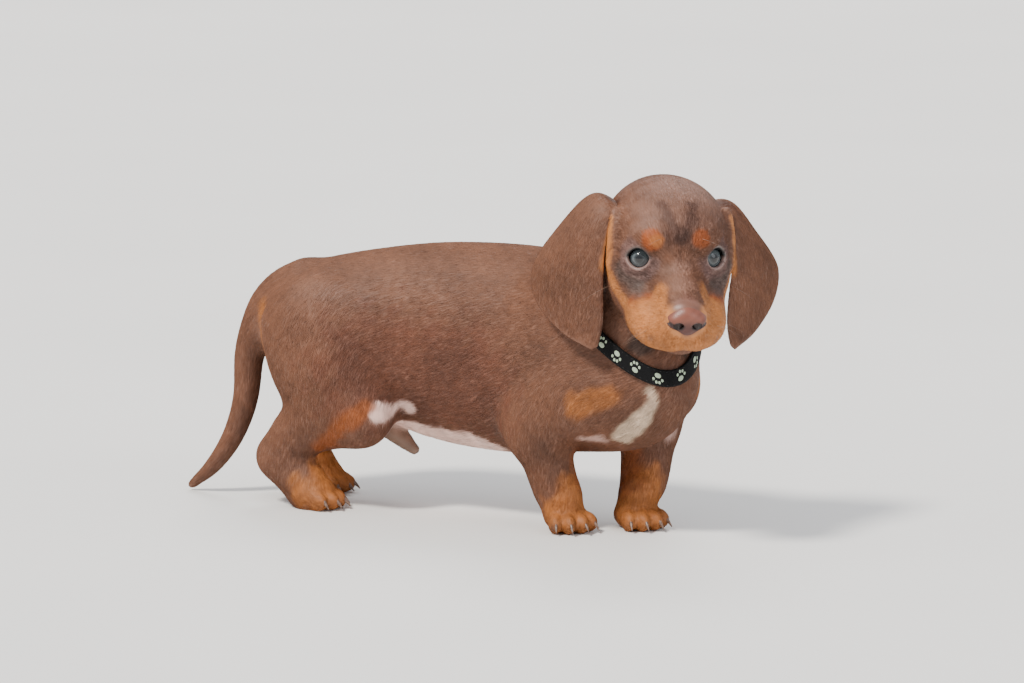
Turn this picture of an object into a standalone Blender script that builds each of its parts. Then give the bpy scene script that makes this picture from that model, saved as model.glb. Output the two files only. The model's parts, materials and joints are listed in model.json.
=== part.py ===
"""A smooth-haired dachshund puppy of about eight weeks, standing with its head turned to its right.

The trunk runs along +X with the head in front, +Y is the puppy's left and +Z is up. Sizes and places are
in millimetres and become metres when a mesh is made. The flesh is one smooth surface, blended from balls
and limbs, which thin cuts then part into head, neck, torso, tail and legs. The ears, eyes, nose, claws
and collar are pieces of their own.
"""

import math

import bmesh
import bpy
import numpy as np
from mathutils import Matrix, Vector

MM = 0.001
GAP = 0.3

# Driving sizes, in millimetres.
SKULL_WIDTH = 76.0
EYE_RADIUS = 8.2
SOLE_HEIGHT = 0.5
EYE_PLACE = np.array([24.8, 19.0, -6.0])
LID_WIDTH = 14.4
LID_HEIGHT = 12.8
EAR_THICKNESS = 2.8
COLLAR_WIDTH = 10.0
COLLAR_THICKNESS = 1.6
COLLAR_CLEARANCE = 0.9

# How the parts of the body are turned, in degrees. Headings are seen from above, and positive is leftwards.
PELVIS_HEADING = 9.0
CHEST_HEADING = -25.0
HEAD_HEADING = -53.0
HEAD_PITCH = -15.0
HEAD_ROLL = -1.5


def heading(degrees):
    """The level unit vector that points that way."""
    return np.array([math.cos(math.radians(degrees)), math.sin(math.radians(degrees)), 0.0])


def unit(vector):
    return np.asarray(vector, float) / np.linalg.norm(vector)


class Frame:
    """A turned set of axes: forward, left and up, in the columns of its matrix, round its origin."""

    def __init__(self, origin, yaw, pitch=0.0, roll=0.0):
        self.origin = np.array(origin, float)
        turn = Matrix.Rotation(math.radians(yaw), 3, "Z")
        turn = turn @ Matrix.Rotation(math.radians(-pitch), 3, "Y")
        turn = turn @ Matrix.Rotation(math.radians(roll), 3, "X")
        self.axes = np.array(turn)

    def __call__(self, forward, left, up):
        return self.origin + self.axes @ np.array([forward, left, up], float)

    def direction(self, forward, left, up):
        return unit(self.axes @ np.array([forward, left, up], float))


HEAD = Frame((122.39, -43.49, 182.8), HEAD_HEADING, HEAD_PITCH, HEAD_ROLL)
CHEST = Frame((79.0, -17.0, 100.0), CHEST_HEADING)
PELVIS = Frame((-115.0, -8.0, 108.0), PELVIS_HEADING)


def smooth_path(points, samples):
    """Evenly numbered places on a smooth curve through the points, every column alike."""
    points = np.asarray(points, float)
    ends = np.vstack([2 * points[0] - points[1], points, 2 * points[-1] - points[-2]])
    at = np.linspace(0, len(points) - 1, samples)
    i = np.minimum(at.astype(int), len(points) - 2)
    t = (at - i)[:, None]
    a, b, c, d = ends[i], ends[i + 1], ends[i + 2], ends[i + 3]
    return 0.5 * (2 * b + (c - a) * t + (2 * a - 5 * b + 4 * c - d) * t**2 + (3 * b - a - 3 * c + d) * t**3)


class Ball:
    """An ellipsoid mass. distance() is roughly how far a point is outside its surface."""

    def __init__(self, centre, radii, axes=None):
        self.centre = np.array(centre, float)
        self.radii = np.array(radii, float)
        self.axes = np.eye(3) if axes is None else np.array(axes, float)

    def box(self):
        reach = self.radii.max()
        return self.centre - reach, self.centre + reach

    def distance(self, p):
        q = (p - self.centre) @ self.axes
        near = np.linalg.norm(q / self.radii, axis=1) + 1e-9
        slope = np.linalg.norm(q / self.radii**2, axis=1) + 1e-9
        return near * (near - 1) / slope

    def lumps(self):
        return [(self.centre, self.radii, self.axes)]


class Limb:
    """A swept mass through stations of (x, y, z, half width, half height), its width along a side axis."""

    def __init__(self, stations, side, samples=14):
        path = smooth_path(stations, samples)
        self.points, self.width, self.height = path[:, :3], path[:, 3], path[:, 4]
        along = np.diff(self.points, axis=0)
        side = np.array(side, float) - (along @ side / (along**2).sum(1))[:, None] * along
        self.side = side / np.linalg.norm(side, axis=1)[:, None]

    def box(self):
        reach = max(self.width.max(), self.height.max())
        return self.points.min(0) - reach, self.points.max(0) + reach

    def distance(self, p):
        nearest = np.full(len(p), 1e9)
        for i, side in enumerate(self.side):
            start, along = self.points[i], self.points[i + 1] - self.points[i]
            t = np.clip((p - start) @ along / (along @ along), 0, 1)
            q = p - start - t[:, None] * along
            width = self.width[i] + t * (self.width[i + 1] - self.width[i])
            height = self.height[i] + t * (self.height[i + 1] - self.height[i])
            across = q @ side
            far = np.linalg.norm(q, axis=1) + 1e-9
            rest = np.sqrt(np.maximum(far**2 - across**2, 0))
            share = np.sqrt((across / width) ** 2 + (rest / height) ** 2)
            nearest = np.minimum(nearest, far - far / share)
        return nearest

    def lumps(self):
        found = []
        apart = np.linalg.norm(np.diff(self.points, axis=0), axis=1).mean()
        step = max(1, round(0.3 * self.height.max() / apart))
        for i, point in list(enumerate(self.points))[::step]:
            j = min(i, len(self.side) - 1)
            along = unit(self.points[j + 1] - self.points[j])
            axes = np.column_stack([along, self.side[j], np.cross(along, self.side[j])])
            found.append((point, (self.height[i], self.width[i], self.height[i]), axes))
        return found


def trunk():
    """Rump, belly and chest in one swept mass, curved towards the side that the puppy looks to."""
    stations = [
        (-142, -13, 108, 16, 20),
        (-132, -11, 108, 30, 30),
        (-112, -7, 106, 39, 41),
        (-80, -2, 105, 44, 49),
        (-42, 1, 100.5, 47, 59),
        (0, 0, 99.5, 48.5, 62),
        (38, -5, 101, 47, 59.5),
        (66, -14, 102, 42, 57),
        (86, -22, 98, 36, 49),
        (99, -28, 92, 27, 36),
    ]
    return [(Limb(stations, (0, 1, 0), 48), 0)]


def neck():
    stations = [
        (*CHEST(-12, 0, 22), 34, 40),
        (*CHEST(6, 0, 34), 32, 36),
        (103, -31, 150, 30, 34),
        (*HEAD(-18, 0, -12), 29, 30),
    ]
    return [(Limb(stations, CHEST.direction(0, 1, 0)), 22)]


def shoulders():
    forms = []
    for side in (1, -1):
        blade = CHEST(-16, 30 * side, 12)
        forms.append((Ball(blade, (29, 13, 37), CHEST.axes), 16))
        point = CHEST(16, 27 * side, -14)
        forms.append((Ball(point, (18, 14, 20), CHEST.axes), 12))
    forms.append((Ball(CHEST(30, 0, -14), (12, 10, 20), CHEST.axes), 14))
    return forms


def foreleg(elbow, wrist, paw_at, toes_heading, side):
    """Upper arm, forearm and wrist. The forearm is thick with loose skin above the wrist."""
    across = heading(toes_heading + 90)
    top = CHEST(-6, 32 * side, -20)
    arm = Limb([(*top, 17, 23), (*elbow, 15.5, 21)], across, 6)
    mid = (np.array(elbow) + np.array(wrist)) / 2 + (0, 0, 1)
    pastern = (np.array(wrist) + np.array(paw_at)) / 2 + (0, 0, 3)
    fore = [(*elbow, 15, 21), (*mid, 14.5, 20), (*wrist, 13.5, 17.5), (*pastern, 12.5, 15)]
    return [(arm, 14), (Limb(fore, across), 9), *paw(paw_at, toes_heading, 1.0)]


def hindleg(knee, hock, paw_at, toes_heading, side):
    """Thigh, lower leg and rear pastern, with the hock's point at the back."""
    across = heading(toes_heading + 90)
    thigh = Ball(PELVIS(4, 27 * side, -14), (35, 19, 44), PELVIS.axes)
    upper = Limb([(*PELVIS(10, 28 * side, -22), 18, 28), (*knee, 15, 19)], across, 6)
    shin = np.array(knee) * 0.4 + np.array(hock) * 0.6 + (-2, 0, 8)
    lower = Limb([(*knee, 14, 19), (*shin, 12.5, 18), (*hock, 11, 14)], across)
    ankle = (np.array(hock) + np.array(paw_at)) / 2 + (0, 0, 1)
    rear = Limb([(*hock, 11, 13), (*ankle, 12, 15), (*paw_at, 12, 13)], across, 8)
    return [(thigh, 16), (upper, 12), (lower, 10), (rear, 6), *paw(paw_at, toes_heading, 0.94)]


TOES = ((8.0, -9.6), (12.5, -3.6), (12.5, 3.6), (8.0, 9.6))
TOE_HEIGHT = 6.4


def toe_frame(paw_at, toes_heading, size, toe):
    forward, left = TOES[toe]
    base = Frame((paw_at[0], paw_at[1], 0), toes_heading)
    return Frame(base(forward * size, left * size, TOE_HEIGHT * size), toes_heading + 2.0 * left)


def paw(paw_at, toes_heading, size):
    """A round paw with four toes close together and a pad under them."""
    base = Frame((paw_at[0], paw_at[1], 0), toes_heading)
    forms = [(Ball(base(-1 * size, 0, 8 * size), np.array((15, 12.5, 9.5)) * size, base.axes), 6)]
    for toe in range(len(TOES)):
        frame = toe_frame(paw_at, toes_heading, size, toe)
        forms.append((Ball(frame(0, 0, 0), np.array((9.0, 4.9, 6.6)) * size, frame.axes), 2.2))
    return forms


def sheath():
    """The small sheath under the belly, which shows that the puppy is a male."""
    stations = [(-94, 0, 52, 7, 7), (-82, 0, 45, 6, 6.5), (-72, 0, 39, 5, 5.5), (-65, 0, 34, 3.4, 3.8)]
    return [(Limb(stations, (0, 1, 0), 10), 8)]


def tail():
    """Carried low, and curved back where its end nears the floor."""
    stations = [
        (-132, -11, 130, 15, 15),
        (-146, -13, 125, 12, 12.5),
        (-158, -15, 112, 10.5, 11),
        (-167, -16, 88, 9.2, 9.4),
        (-170, -16, 60, 7.8, 8.0),
        (-178, -16.5, 37, 6.6, 6.8),
        (-191, -17, 18, 5.2, 5.3),
        (-207, -16, 4, 2.8, 3.0),
    ]
    return [(Limb(stations, (0, 1, 0), 30), 9)]


def head():
    """Skull, cheeks, brows, muzzle with its hanging lips, and the jaw beneath them."""
    half = SKULL_WIDTH / 2
    axes = HEAD.axes
    forms = [
        (Ball(HEAD(-2, 0, -2), (41, half - 2, 32), axes), 14),
        (Ball(HEAD(15, 0, 3), (24, 28, 23), axes), 10),
        (Ball(HEAD(0, 0, -24), (34, 31, 24), axes), 12),
    ]
    for side in (1, -1):
        forms += [
            (Ball(HEAD(10, 22 * side, -17), (22, 14, 17), axes), 10),
            (Ball(HEAD(24, 14 * side, 8), (12, 10, 8), axes), 8),
            (Ball(HEAD(*EYE_PLACE * (1, side, 1)), np.full(3, EYE_RADIUS + 1.5), axes), 6),
        ]
    bridge = [
        (*HEAD(20, 0, -7), 18, 14),
        (*HEAD(38, 0, -14.5), 16.5, 12.5),
        (*HEAD(55, 0, -19.5), 13.5, 11),
        (*HEAD(66, 0, -23), 12, 10),
    ]
    forms.append((Limb(bridge, HEAD.direction(0, 1, 0), 10), 9))
    for side in (1, -1):
        lip = [
            (*HEAD(20, 21 * side, -30), 10, 15),
            (*HEAD(37, 18.5 * side, -34), 11.5, 15),
            (*HEAD(53, 15 * side, -35.5), 12.2, 13.5),
            (*HEAD(63, 8.5 * side, -35.5), 10.5, 12),
        ]
        forms.append((Limb(lip, HEAD.direction(0, 1, 0), 12), 10))
    jaw = [
        (*HEAD(4, 0, -38), 24, 14),
        (*HEAD(28, 0, -43), 19, 9.5),
        (*HEAD(48, 0, -46), 14, 7),
        (*HEAD(59, 0, -46.5), 9.5, 5.5),
    ]
    forms.append((Limb(jaw, HEAD.direction(0, 1, 0), 10), 2))
    return forms


FEET = {
    "front_right": (CHEST(-31, -38, -38), CHEST(-25, -28, -74), CHEST(-16, -27, -91), -42),
    "front_left": (CHEST(-12, 34, -37), CHEST(-3, 21, -72), CHEST(2, 11, -91), -34),
    "hind_right": ((-82, -37, 60), (-138, -33, 29), (-114, -35, 9), -2),
    "hind_left": ((-95, 25, 60), (-155, 15, 30), (-136, 17, 9), 6),
}


def flesh():
    """Every mass of the body in the order in which it is blended in, each with its blending distance."""
    forms = trunk() + shoulders() + neck() + tail() + sheath() + head()
    for name, (joint, ankle, paw_at, toes) in FEET.items():
        side = 1 if name.endswith("left") else -1
        build = foreleg if name.startswith("front") else hindleg
        forms += build(joint, ankle, paw_at, toes, side)
    return forms


def smooth_min(a, b, blend):
    if blend <= 0:
        return np.minimum(a, b)
    near = np.maximum(blend - np.abs(a - b), 0) / blend
    return np.minimum(a, b) - near**2 * blend / 4


# How near a form has to be for its blending to be felt, in millimetres.
REACH = 26.0

FORMS = flesh()


def body_distance(p):
    """How far each point is outside the blended flesh, which ends flat on the floor."""
    total = np.full(len(p), 1e3)
    for form, blend in FORMS:
        low, high = form.box()
        near = ((p > low - REACH) & (p < high + REACH)).all(1)
        if near.any():
            total[near] = smooth_min(total[near], form.distance(p[near]), blend)
    return np.maximum(total, -p[:, 2])


def lumps_mesh(forms):
    """The masses as overlapping ellipsoids in one mesh, ready for a voxel remesh to fuse them."""
    shape = bmesh.new()
    for form, _ in forms:
        for centre, radii, axes in form.lumps():
            place = Matrix(np.column_stack([axes * radii, centre]).tolist()).to_4x4()
            bmesh.ops.create_icosphere(shape, subdivisions=2, radius=1.0, matrix=place)
    mesh = bpy.data.meshes.new("lumps")
    shape.to_mesh(mesh)
    shape.free()
    return mesh


def settle(mesh, distance, rounds, reach=2.0):
    """Moves every vertex up or down the slope of distance until it lies where distance is nought."""
    place = np.empty(len(mesh.vertices) * 3)
    mesh.vertices.foreach_get("co", place)
    p = place.reshape(-1, 3)
    step = 0.15
    for _ in range(rounds):
        far = distance(p)
        slope = np.column_stack([distance(p + step * axis) - far for axis in np.eye(3)]) / step
        steep = np.maximum((slope**2).sum(1), 0.15)
        p -= slope * (np.clip(far, -reach, reach) / steep)[:, None]
    mesh.vertices.foreach_set("co", p.ravel())
    mesh.update()


def relax(mesh, times):
    """Evens out the mesh's vertices."""
    shape = bmesh.new()
    shape.from_mesh(mesh)
    for _ in range(times):
        bmesh.ops.smooth_vert(
            shape, verts=shape.verts, factor=0.5, use_axis_x=True, use_axis_y=True, use_axis_z=True
        )
    shape.to_mesh(mesh)
    shape.free()
    mesh.update()


def add_object(name, mesh):
    obj = bpy.data.objects.new(name, mesh)
    bpy.context.collection.objects.link(obj)
    return obj


def bake(obj):
    """Applies the object's modifiers."""
    graph = bpy.context.evaluated_depsgraph_get()
    mesh = bpy.data.meshes.new_from_object(obj.evaluated_get(graph))
    obj.modifiers.clear()
    old, obj.data = obj.data, mesh
    bpy.data.meshes.remove(old)


def remesh(obj, size):
    """Fuses the object's bodies into one closed surface of triangles."""
    change = obj.modifiers.new("remesh", "REMESH")
    change.mode = "VOXEL"
    change.voxel_size = size
    obj.modifiers.new("triangles", "TRIANGULATE")
    bake(obj)
    largest_piece(obj)


def thin_out(obj, triangles):
    """Brings a mesh of triangles down to so many of them."""
    change = obj.modifiers.new("thin", "DECIMATE")
    change.ratio = min(1.0, triangles / len(obj.data.polygons))
    bake(obj)


def largest_piece(obj):
    """Keeps only the largest closed surface of the object."""
    shape = bmesh.new()
    shape.from_mesh(obj.data)
    bmesh.ops.triangulate(shape, faces=shape.faces)
    left, pieces = set(shape.verts), []
    while left:
        piece, edge = set(), [left.pop()]
        while edge:
            vert = edge.pop()
            piece.add(vert)
            near = {e.other_vert(vert) for e in vert.link_edges} & left
            left -= near
            edge += near
        pieces.append(piece)
    pieces.sort(key=len)
    for piece in pieces[:-1]:
        bmesh.ops.delete(shape, geom=list(piece), context="VERTS")
    shape.to_mesh(obj.data)
    shape.free()


def boolean(obj, tool, operation):
    change = obj.modifiers.new(operation.lower(), "BOOLEAN")
    change.operation = operation
    change.object = tool
    change.solver = "MANIFOLD"
    obj.modifiers.new("triangles", "TRIANGULATE")
    bake(obj)


def drop(*objects):
    for obj in objects:
        bpy.data.objects.remove(obj)


def copy_of(obj, name, swell=0.0):
    """A copy of the object, moved outwards along its normals by swell."""
    mesh = obj.data.copy()
    place = np.array([v.co + v.normal * swell for v in mesh.vertices])
    mesh.vertices.foreach_set("co", place.ravel())
    return add_object(name, mesh)


def solid_from(name, points, faces):
    mesh = bpy.data.meshes.new(name)
    mesh.from_pydata([tuple(point) for point in points], [], faces)
    shape = bmesh.new()
    shape.from_mesh(mesh)
    bmesh.ops.recalc_face_normals(shape, faces=shape.faces)
    shape.to_mesh(mesh)
    shape.free()
    return add_object(name, mesh)


def loft(name, rings):
    """A closed body through rings of equally many points, capped at both ends."""
    rings = np.asarray(rings, float)
    count, around = rings.shape[:2]
    faces = []
    for i in range(count - 1):
        for j in range(around):
            k = (j + 1) % around
            faces.append((i * around + j, i * around + k, (i + 1) * around + k, (i + 1) * around + j))
    points = np.vstack([rings.reshape(-1, 3), rings[0].mean(0), rings[-1].mean(0)])
    for cap, start in ((count * around, 0), (count * around + 1, (count - 1) * around)):
        faces += [(cap, start + j, start + (j + 1) % around) for j in range(around)]
    return solid_from(name, points, faces)


def part_off(name, body, region):
    """Takes what lies inside the region off the body, as a node of its own. region(grow) makes it anew."""
    piece = copy_of(body, name)
    for obj, grow, operation in ((piece, 0.0, "INTERSECT"), (body, GAP, "DIFFERENCE")):
        tool = region(grow)
        boolean(obj, tool, operation)
        drop(tool)
    largest_piece(piece)
    return piece


def half_space(point, normal):
    """A region on the side of a plane that its normal points to."""

    def region(grow):
        turn = Vector(normal).to_track_quat("Z", "Y").to_matrix().to_4x4()
        size = 400.0
        middle = Vector(point) + Vector(unit(normal)) * (size / 2 - grow)
        mesh = bpy.data.meshes.new("half")
        shape = bmesh.new()
        bmesh.ops.create_cube(shape, size=size, matrix=Matrix.Translation(middle) @ turn)
        shape.to_mesh(mesh)
        shape.free()
        return add_object("half", mesh)

    return region


def leg_block(frame, rear, front, side, inner, armpit, outer, shoulder):
    """The region of a leg: below a plane that rises from the armpit, at inner, outwards to the shoulder."""

    def region(grow):
        low = -20 - frame.origin[2]
        section = [
            (inner - grow, low),
            (outer + grow, low),
            (outer + grow, shoulder - frame.origin[2] + grow * 1.3),
            (inner - grow, armpit - frame.origin[2] + grow * 1.3),
        ]
        rings = [[frame(x, side * y, z) for y, z in section] for x in (rear - grow, front + grow)]
        return loft("block", rings)

    return region


def tail_sleeve(grow):
    """The region of the tail: a sleeve round it, from its root on."""
    limb = tail()[0][0]
    start = 7
    rings = []
    for i in range(start, len(limb.points)):
        j = min(i, len(limb.side) - 1)
        along = unit(limb.points[j + 1] - limb.points[j])
        across = np.cross(along, limb.side[j])
        centre = limb.points[i] - along * (grow if i == start else 0)
        if i == len(limb.points) - 1:
            centre = centre + along * 12
        radius = 4.5 + grow + max(limb.width[i], limb.height[i])
        turns = [math.tau * k / 16 for k in range(16)]
        rings.append([centre + radius * (math.cos(t) * limb.side[j] + math.sin(t) * across) for t in turns])
    return loft("sleeve", rings)


REGIONS = {
    "leg_front_right": leg_block(CHEST, -60, 26, -1, 12, 38, 80, 92),
    "leg_front_left": leg_block(CHEST, -50, 44, 1, -2, 34, 80, 96),
    "leg_hind_right": leg_block(PELVIS, -50, 62, -1, 14, 40, 80, 100),
    "leg_hind_left": leg_block(PELVIS, -50, 62, 1, 12, 40, 80, 100),
}
HEAD_CUT = half_space((109, -35, 153), (0.60, -0.48, 0.64))
NECK_CUT = half_space((92.4, -20, 133), (0.62, -0.52, 0.59))


def eye_frame(side):
    """The eye's own axes: forward is the middle of its opening, which looks outwards and a little up."""
    return Frame(HEAD(*EYE_PLACE * (1, side, 1)), HEAD_HEADING + 25 * side, HEAD_PITCH + 17, HEAD_ROLL)


def almond(frame, reach, width, height, count=20):
    """The opening between the lids, at some distance from the eye's centre. Its inner corner is drawn out."""
    ring = []
    for k in range(count):
        turn = math.tau * k / count
        across, up = math.cos(turn), math.sin(turn)
        pinch = 1 - 0.18 * across**2
        ring.append(frame(reach, across * width / 2, up * abs(up) ** 0.1 * height / 2 * pinch))
    return ring


def eye(side):
    frame = eye_frame(side)
    rings = []
    for k in range(1, 14):
        turn = math.pi * k / 14
        bulge = 0.6 * math.exp(-((turn / 0.5) ** 2))
        forward = (EYE_RADIUS + bulge) * math.cos(turn)
        radius = EYE_RADIUS * math.sin(turn)
        spin = [math.tau * j / 20 for j in range(20)]
        rings.append([frame(forward, radius * math.cos(s), radius * math.sin(s)) for s in spin])
    return loft("eye_" + ("left" if side > 0 else "right"), rings)


def eye_socket(side):
    """The tools that open the lids and hollow the socket behind them."""
    frame = eye_frame(side)
    scale = {3.0: 0.62, 6.4: 0.88, 8.6: 1.0, 15.0: 1.3}
    rings = [almond(frame, reach, LID_WIDTH * share, LID_HEIGHT * share) for reach, share in scale.items()]
    ball = bmesh.new()
    place = Matrix.Translation(Vector(frame(0.1, 0, 0)))
    bmesh.ops.create_icosphere(ball, subdivisions=3, radius=EYE_RADIUS + 0.35, matrix=place)
    mesh = bpy.data.meshes.new("socket")
    ball.to_mesh(mesh)
    ball.free()
    return loft("lids", rings), add_object("socket", mesh)


EAR_FRONT = [
    (-1, 23, 9), (4, 33.5, 12), (8, 37, -4), (10, 37.5, -18), (12, 36.5, -34), (17, 37, -50), (22, 40, -63)
]
EAR_BACK = [
    (-27, 20, 2), (-25, 40, 12), (-22, 60, -8), (-20, 73, -31), (-13, 71, -49), (3, 58, -62), (20, 43, -66)
]


def ear_surface(side, along, across):
    """A place on the middle of the ear flap. along runs from root to tip, across from front edge to back."""
    front = smooth_path(EAR_FRONT, 61)[int(round(60 * along))]
    back = smooth_path(EAR_BACK, 61)[int(round(60 * along))]
    middle = 4 * across * (1 - across)
    fold = max(0.0, 1 - along / 0.45)
    out = 5.0 * math.sin(math.pi * min(1, along * 1.15)) * middle + 5.5 * fold * middle
    drop = 5.0 * math.sin(math.pi * min(1.0, along / 0.5)) if side > 0 else 0.0
    forward, left, up = front + across * (back - front) + out * np.array([0.62, 0.55, 0.35 + 0.5 * fold])
    return HEAD(forward, side * (left - 1.5 * (side > 0)), up - drop)


def ear(side):
    """The flap, folded over at its root, as thick as leather and rounded at its edges."""
    rows, columns = 17, 9
    places = np.array([
        [ear_surface(side, i / (rows - 1), j / (columns - 1)) for j in range(columns)] for i in range(rows)
    ])
    down, over = np.gradient(places, axis=0), np.gradient(places, axis=1)
    normal = np.cross(down, over)
    normal /= np.linalg.norm(normal, axis=2)[:, :, None] + 1e-9
    edge = np.sin(np.pi * np.linspace(0.12, 0.88, columns)) ** 0.5
    end = np.clip(np.sin(np.pi * np.linspace(0.35, 0.93, rows)), 0, 1) ** 0.5
    half = EAR_THICKNESS / 2 * edge[None, :] * end[:, None]
    rings = []
    for i in range(rows):
        outer = places[i] + normal[i] * half[i][:, None]
        inner = places[i] - normal[i] * half[i][:, None]
        rings.append(np.vstack([outer, inner[::-1]]))
    return loft("ear_" + ("left" if side > 0 else "right"), rings)


def nose():
    """The nose leather: a rounded pad with a flat front and two wings, from which the nostrils are cut."""
    forms = [
        (Ball(HEAD(68, 0, -22.5), (10, 10.5, 9), HEAD.axes), 0),
        (Ball(HEAD(71, 6, -25.5), (6.5, 6, 7), HEAD.axes), 4),
        (Ball(HEAD(71, -6, -25.5), (6.5, 6, 7), HEAD.axes), 4),
        (Ball(HEAD(69.5, 0, -30), (7, 7.5, 6), HEAD.axes), 4),
    ]
    pits = [Ball(HEAD(77, 5.4 * side, -27), (5, 2.4, 2.2), HEAD.axes) for side in (1, -1)]
    cuts = [Ball(HEAD(74, 9.6 * side, -28), (5, 3.4, 1.2), HEAD.axes) for side in (1, -1)]

    def distance(p):
        total = np.full(len(p), 1e3)
        for form, blend in forms:
            total = smooth_min(total, form.distance(p), blend)
        for pit in pits + cuts:
            total = -smooth_min(-total, pit.distance(p), 1.2)
        return total

    obj = add_object("nose", lumps_mesh(forms))
    remesh(obj, 1.0)
    settle(obj.data, distance, 3, 1.0)
    relax(obj.data, 1)
    settle(obj.data, distance, 1, 1.0)
    return obj


def claw(name, root, aim, length, radius):
    """One curved claw. It is sunk in the toe at its root and bends down to a blunt point."""
    aim, down = unit(aim), np.array([0, 0, -1.0])
    across = unit(np.cross(aim, down))
    up = np.cross(across, aim)
    rings = []
    for i in range(5):
        t = i / 4
        centre = np.array(root) + aim * length * t + down * 0.5 * length * t**2
        size = radius * (1 - 0.8 * t)
        spin = [math.tau * k / 7 for k in range(7)]
        rings.append([centre + size * (0.75 * math.cos(s) * across + math.sin(s) * up) for s in spin])
    return loft(name, rings)


def claw_roots(pieces):
    """Each paw's name, heading, place and size, with its leg swollen by the gap to trim the claws' roots."""
    for name, (_, _, paw_at, toes) in FEET.items():
        leg = next(piece for piece in pieces if piece.name == "leg_" + name)
        size = 1.0 if name.startswith("front") else 0.94
        yield name, toes, paw_at, size, copy_of(leg, "swollen_" + name, GAP)


MOUTH = [(71, 3, -47.5), (63, 11, -49.5), (52, 17, -49), (40, 21.5, -46.5), (30, 25, -42)]


def on_surface(point):
    """The nearest place on the flesh."""
    point = np.array(point, float)
    nudges = np.vstack([np.zeros(3), 0.2 * np.eye(3)])
    for _ in range(8):
        far = body_distance(point + nudges)
        slope = (far[1:] - far[0]) / 0.2
        point = point - slope * far[0] / (slope @ slope + 1e-9)
    return point


def mouth_line(side):
    """A fine tube along the parting of the lips, which is taken out of the head."""
    path = smooth_path([on_surface(HEAD(x, y * side, z)) for x, y, z in MOUTH], 17)
    rings = []
    for i, point in enumerate(path):
        along = unit(path[min(i + 1, 16)] - path[max(i - 1, 0)])
        side_axis = unit(np.cross(along, (0, 0, 1)))
        up = np.cross(side_axis, along)
        radius = 1.2 if i < 14 else 1.2 - 0.25 * (i - 13)
        turns = np.arange(6) * math.tau / 6
        rings.append([point + radius * (math.cos(t) * side_axis + math.sin(t) * up) for t in turns])
    return loft("mouth", rings)


COLLAR_CENTRE = np.array([99.6, -26.5, 144.6])
COLLAR_AXIS = unit((0.606, -0.51, 0.614))
COLLAR_FRONT = unit(np.cross(np.cross(COLLAR_AXIS, (0.47, -0.35, -0.81)), COLLAR_AXIS))
COLLAR_LEFT = np.cross(COLLAR_AXIS, COLLAR_FRONT)


def neck_reach(turn, along):
    """How far the neck's surface is from the collar's middle, in the direction of turn, at so far along."""
    out = math.cos(turn) * COLLAR_FRONT + math.sin(turn) * COLLAR_LEFT
    start = COLLAR_CENTRE + COLLAR_AXIS * along
    reach = np.linspace(15, 80, 131)
    far = body_distance(start + reach[:, None] * out)
    first = int(np.argmax(far > 0))
    step = reach[1] - reach[0]
    return reach[first - 1] + step * far[first - 1] / (far[first - 1] - far[first])


def collar_section(turn):
    """Where the strap lies on the neck in that direction: its middle, and where its width and face point."""
    out = math.cos(turn) * COLLAR_FRONT + math.sin(turn) * COLLAR_LEFT
    low, middle, high = (neck_reach(turn, along) for along in (-4.0, 0.0, 4.0))
    width = unit(8.0 * COLLAR_AXIS + (high - low) * out)
    face = unit(out - (out @ width) * width)
    return COLLAR_CENTRE + out * max(middle, (low + high) / 2), width, face


def collar():
    """A flat strap of even width that lies on the neck."""
    count = 44
    rings = []
    for k in range(count):
        middle, width, face = collar_section(math.tau * k / count)
        inner, outer = COLLAR_CLEARANCE, COLLAR_CLEARANCE + COLLAR_THICKNESS
        corners = [(-0.5, inner), (-0.5, outer), (0.5, outer), (0.5, inner)]
        rings.append([middle + width * across * COLLAR_WIDTH + face * deep for across, deep in corners])
    faces = []
    for i in range(count):
        for j in range(4):
            a, b = i * 4 + j, i * 4 + (j + 1) % 4
            c, d = (i + 1) % count * 4 + (j + 1) % 4, (i + 1) % count * 4 + j
            faces.append((a, b, c, d))
    return solid_from("collar", np.array(rings).reshape(-1, 3), faces)


# What each kind of piece is made of: its material's name, colour, roughness and metallic value.
FINISHES = {
    "eye": ("eye", (0.16, 0.22, 0.27), 0.1, 0.0),
    "nose": ("nose_leather", (0.27, 0.11, 0.10), 0.35, 0.0),
    "claw": ("claw", (0.11, 0.075, 0.06), 0.4, 0.0),
    "collar": ("webbing", (0.012, 0.013, 0.014), 0.75, 0.0),
    "coat": ("coat", (0.12, 0.045, 0.03), 0.5, 0.0),
}


def paint(obj):
    """Gives the object the material of its kind. The flesh and the ears have the coat's."""
    kind = obj.name.split("_")[0]
    name, colour, roughness, metallic = FINISHES.get(kind, FINISHES["coat"])
    material = bpy.data.materials.new(f"{name}_{obj.name}")
    material.use_nodes = True
    shader = material.node_tree.nodes["Principled BSDF"]
    shader.inputs["Base Color"].default_value = (*colour, 1.0)
    shader.inputs["Roughness"].default_value = roughness
    shader.inputs["Metallic"].default_value = metallic
    obj.data.materials.clear()
    obj.data.materials.append(material)


def finish(objects):
    """Shades the pieces, turns millimetres to metres, and sets the whole with its middle over the origin."""
    corners = np.array([tuple(v.co) for obj in objects for v in obj.data.vertices])
    low, high = corners.min(0), corners.max(0)
    shift = Vector((-(low[0] + high[0]) / 2, -(low[1] + high[1]) / 2, -low[2]))
    for obj in objects:
        obj.data.transform(Matrix.Scale(MM, 4) @ Matrix.Translation(shift))
        obj.data.shade_smooth()
        obj.data.set_sharp_from_angle(angle=math.radians(40))
        obj.data.update()
        paint(obj)
    print("shift", tuple(shift))


# The number of triangles that each piece of the flesh is brought down to.
TRIANGLES = {
    "head": 3400,
    "neck": 600,
    "tail": 360,
    "leg_front_right": 1000,
    "leg_front_left": 1000,
    "leg_hind_right": 1000,
    "leg_hind_left": 1000,
    "torso": 1900,
}


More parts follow.
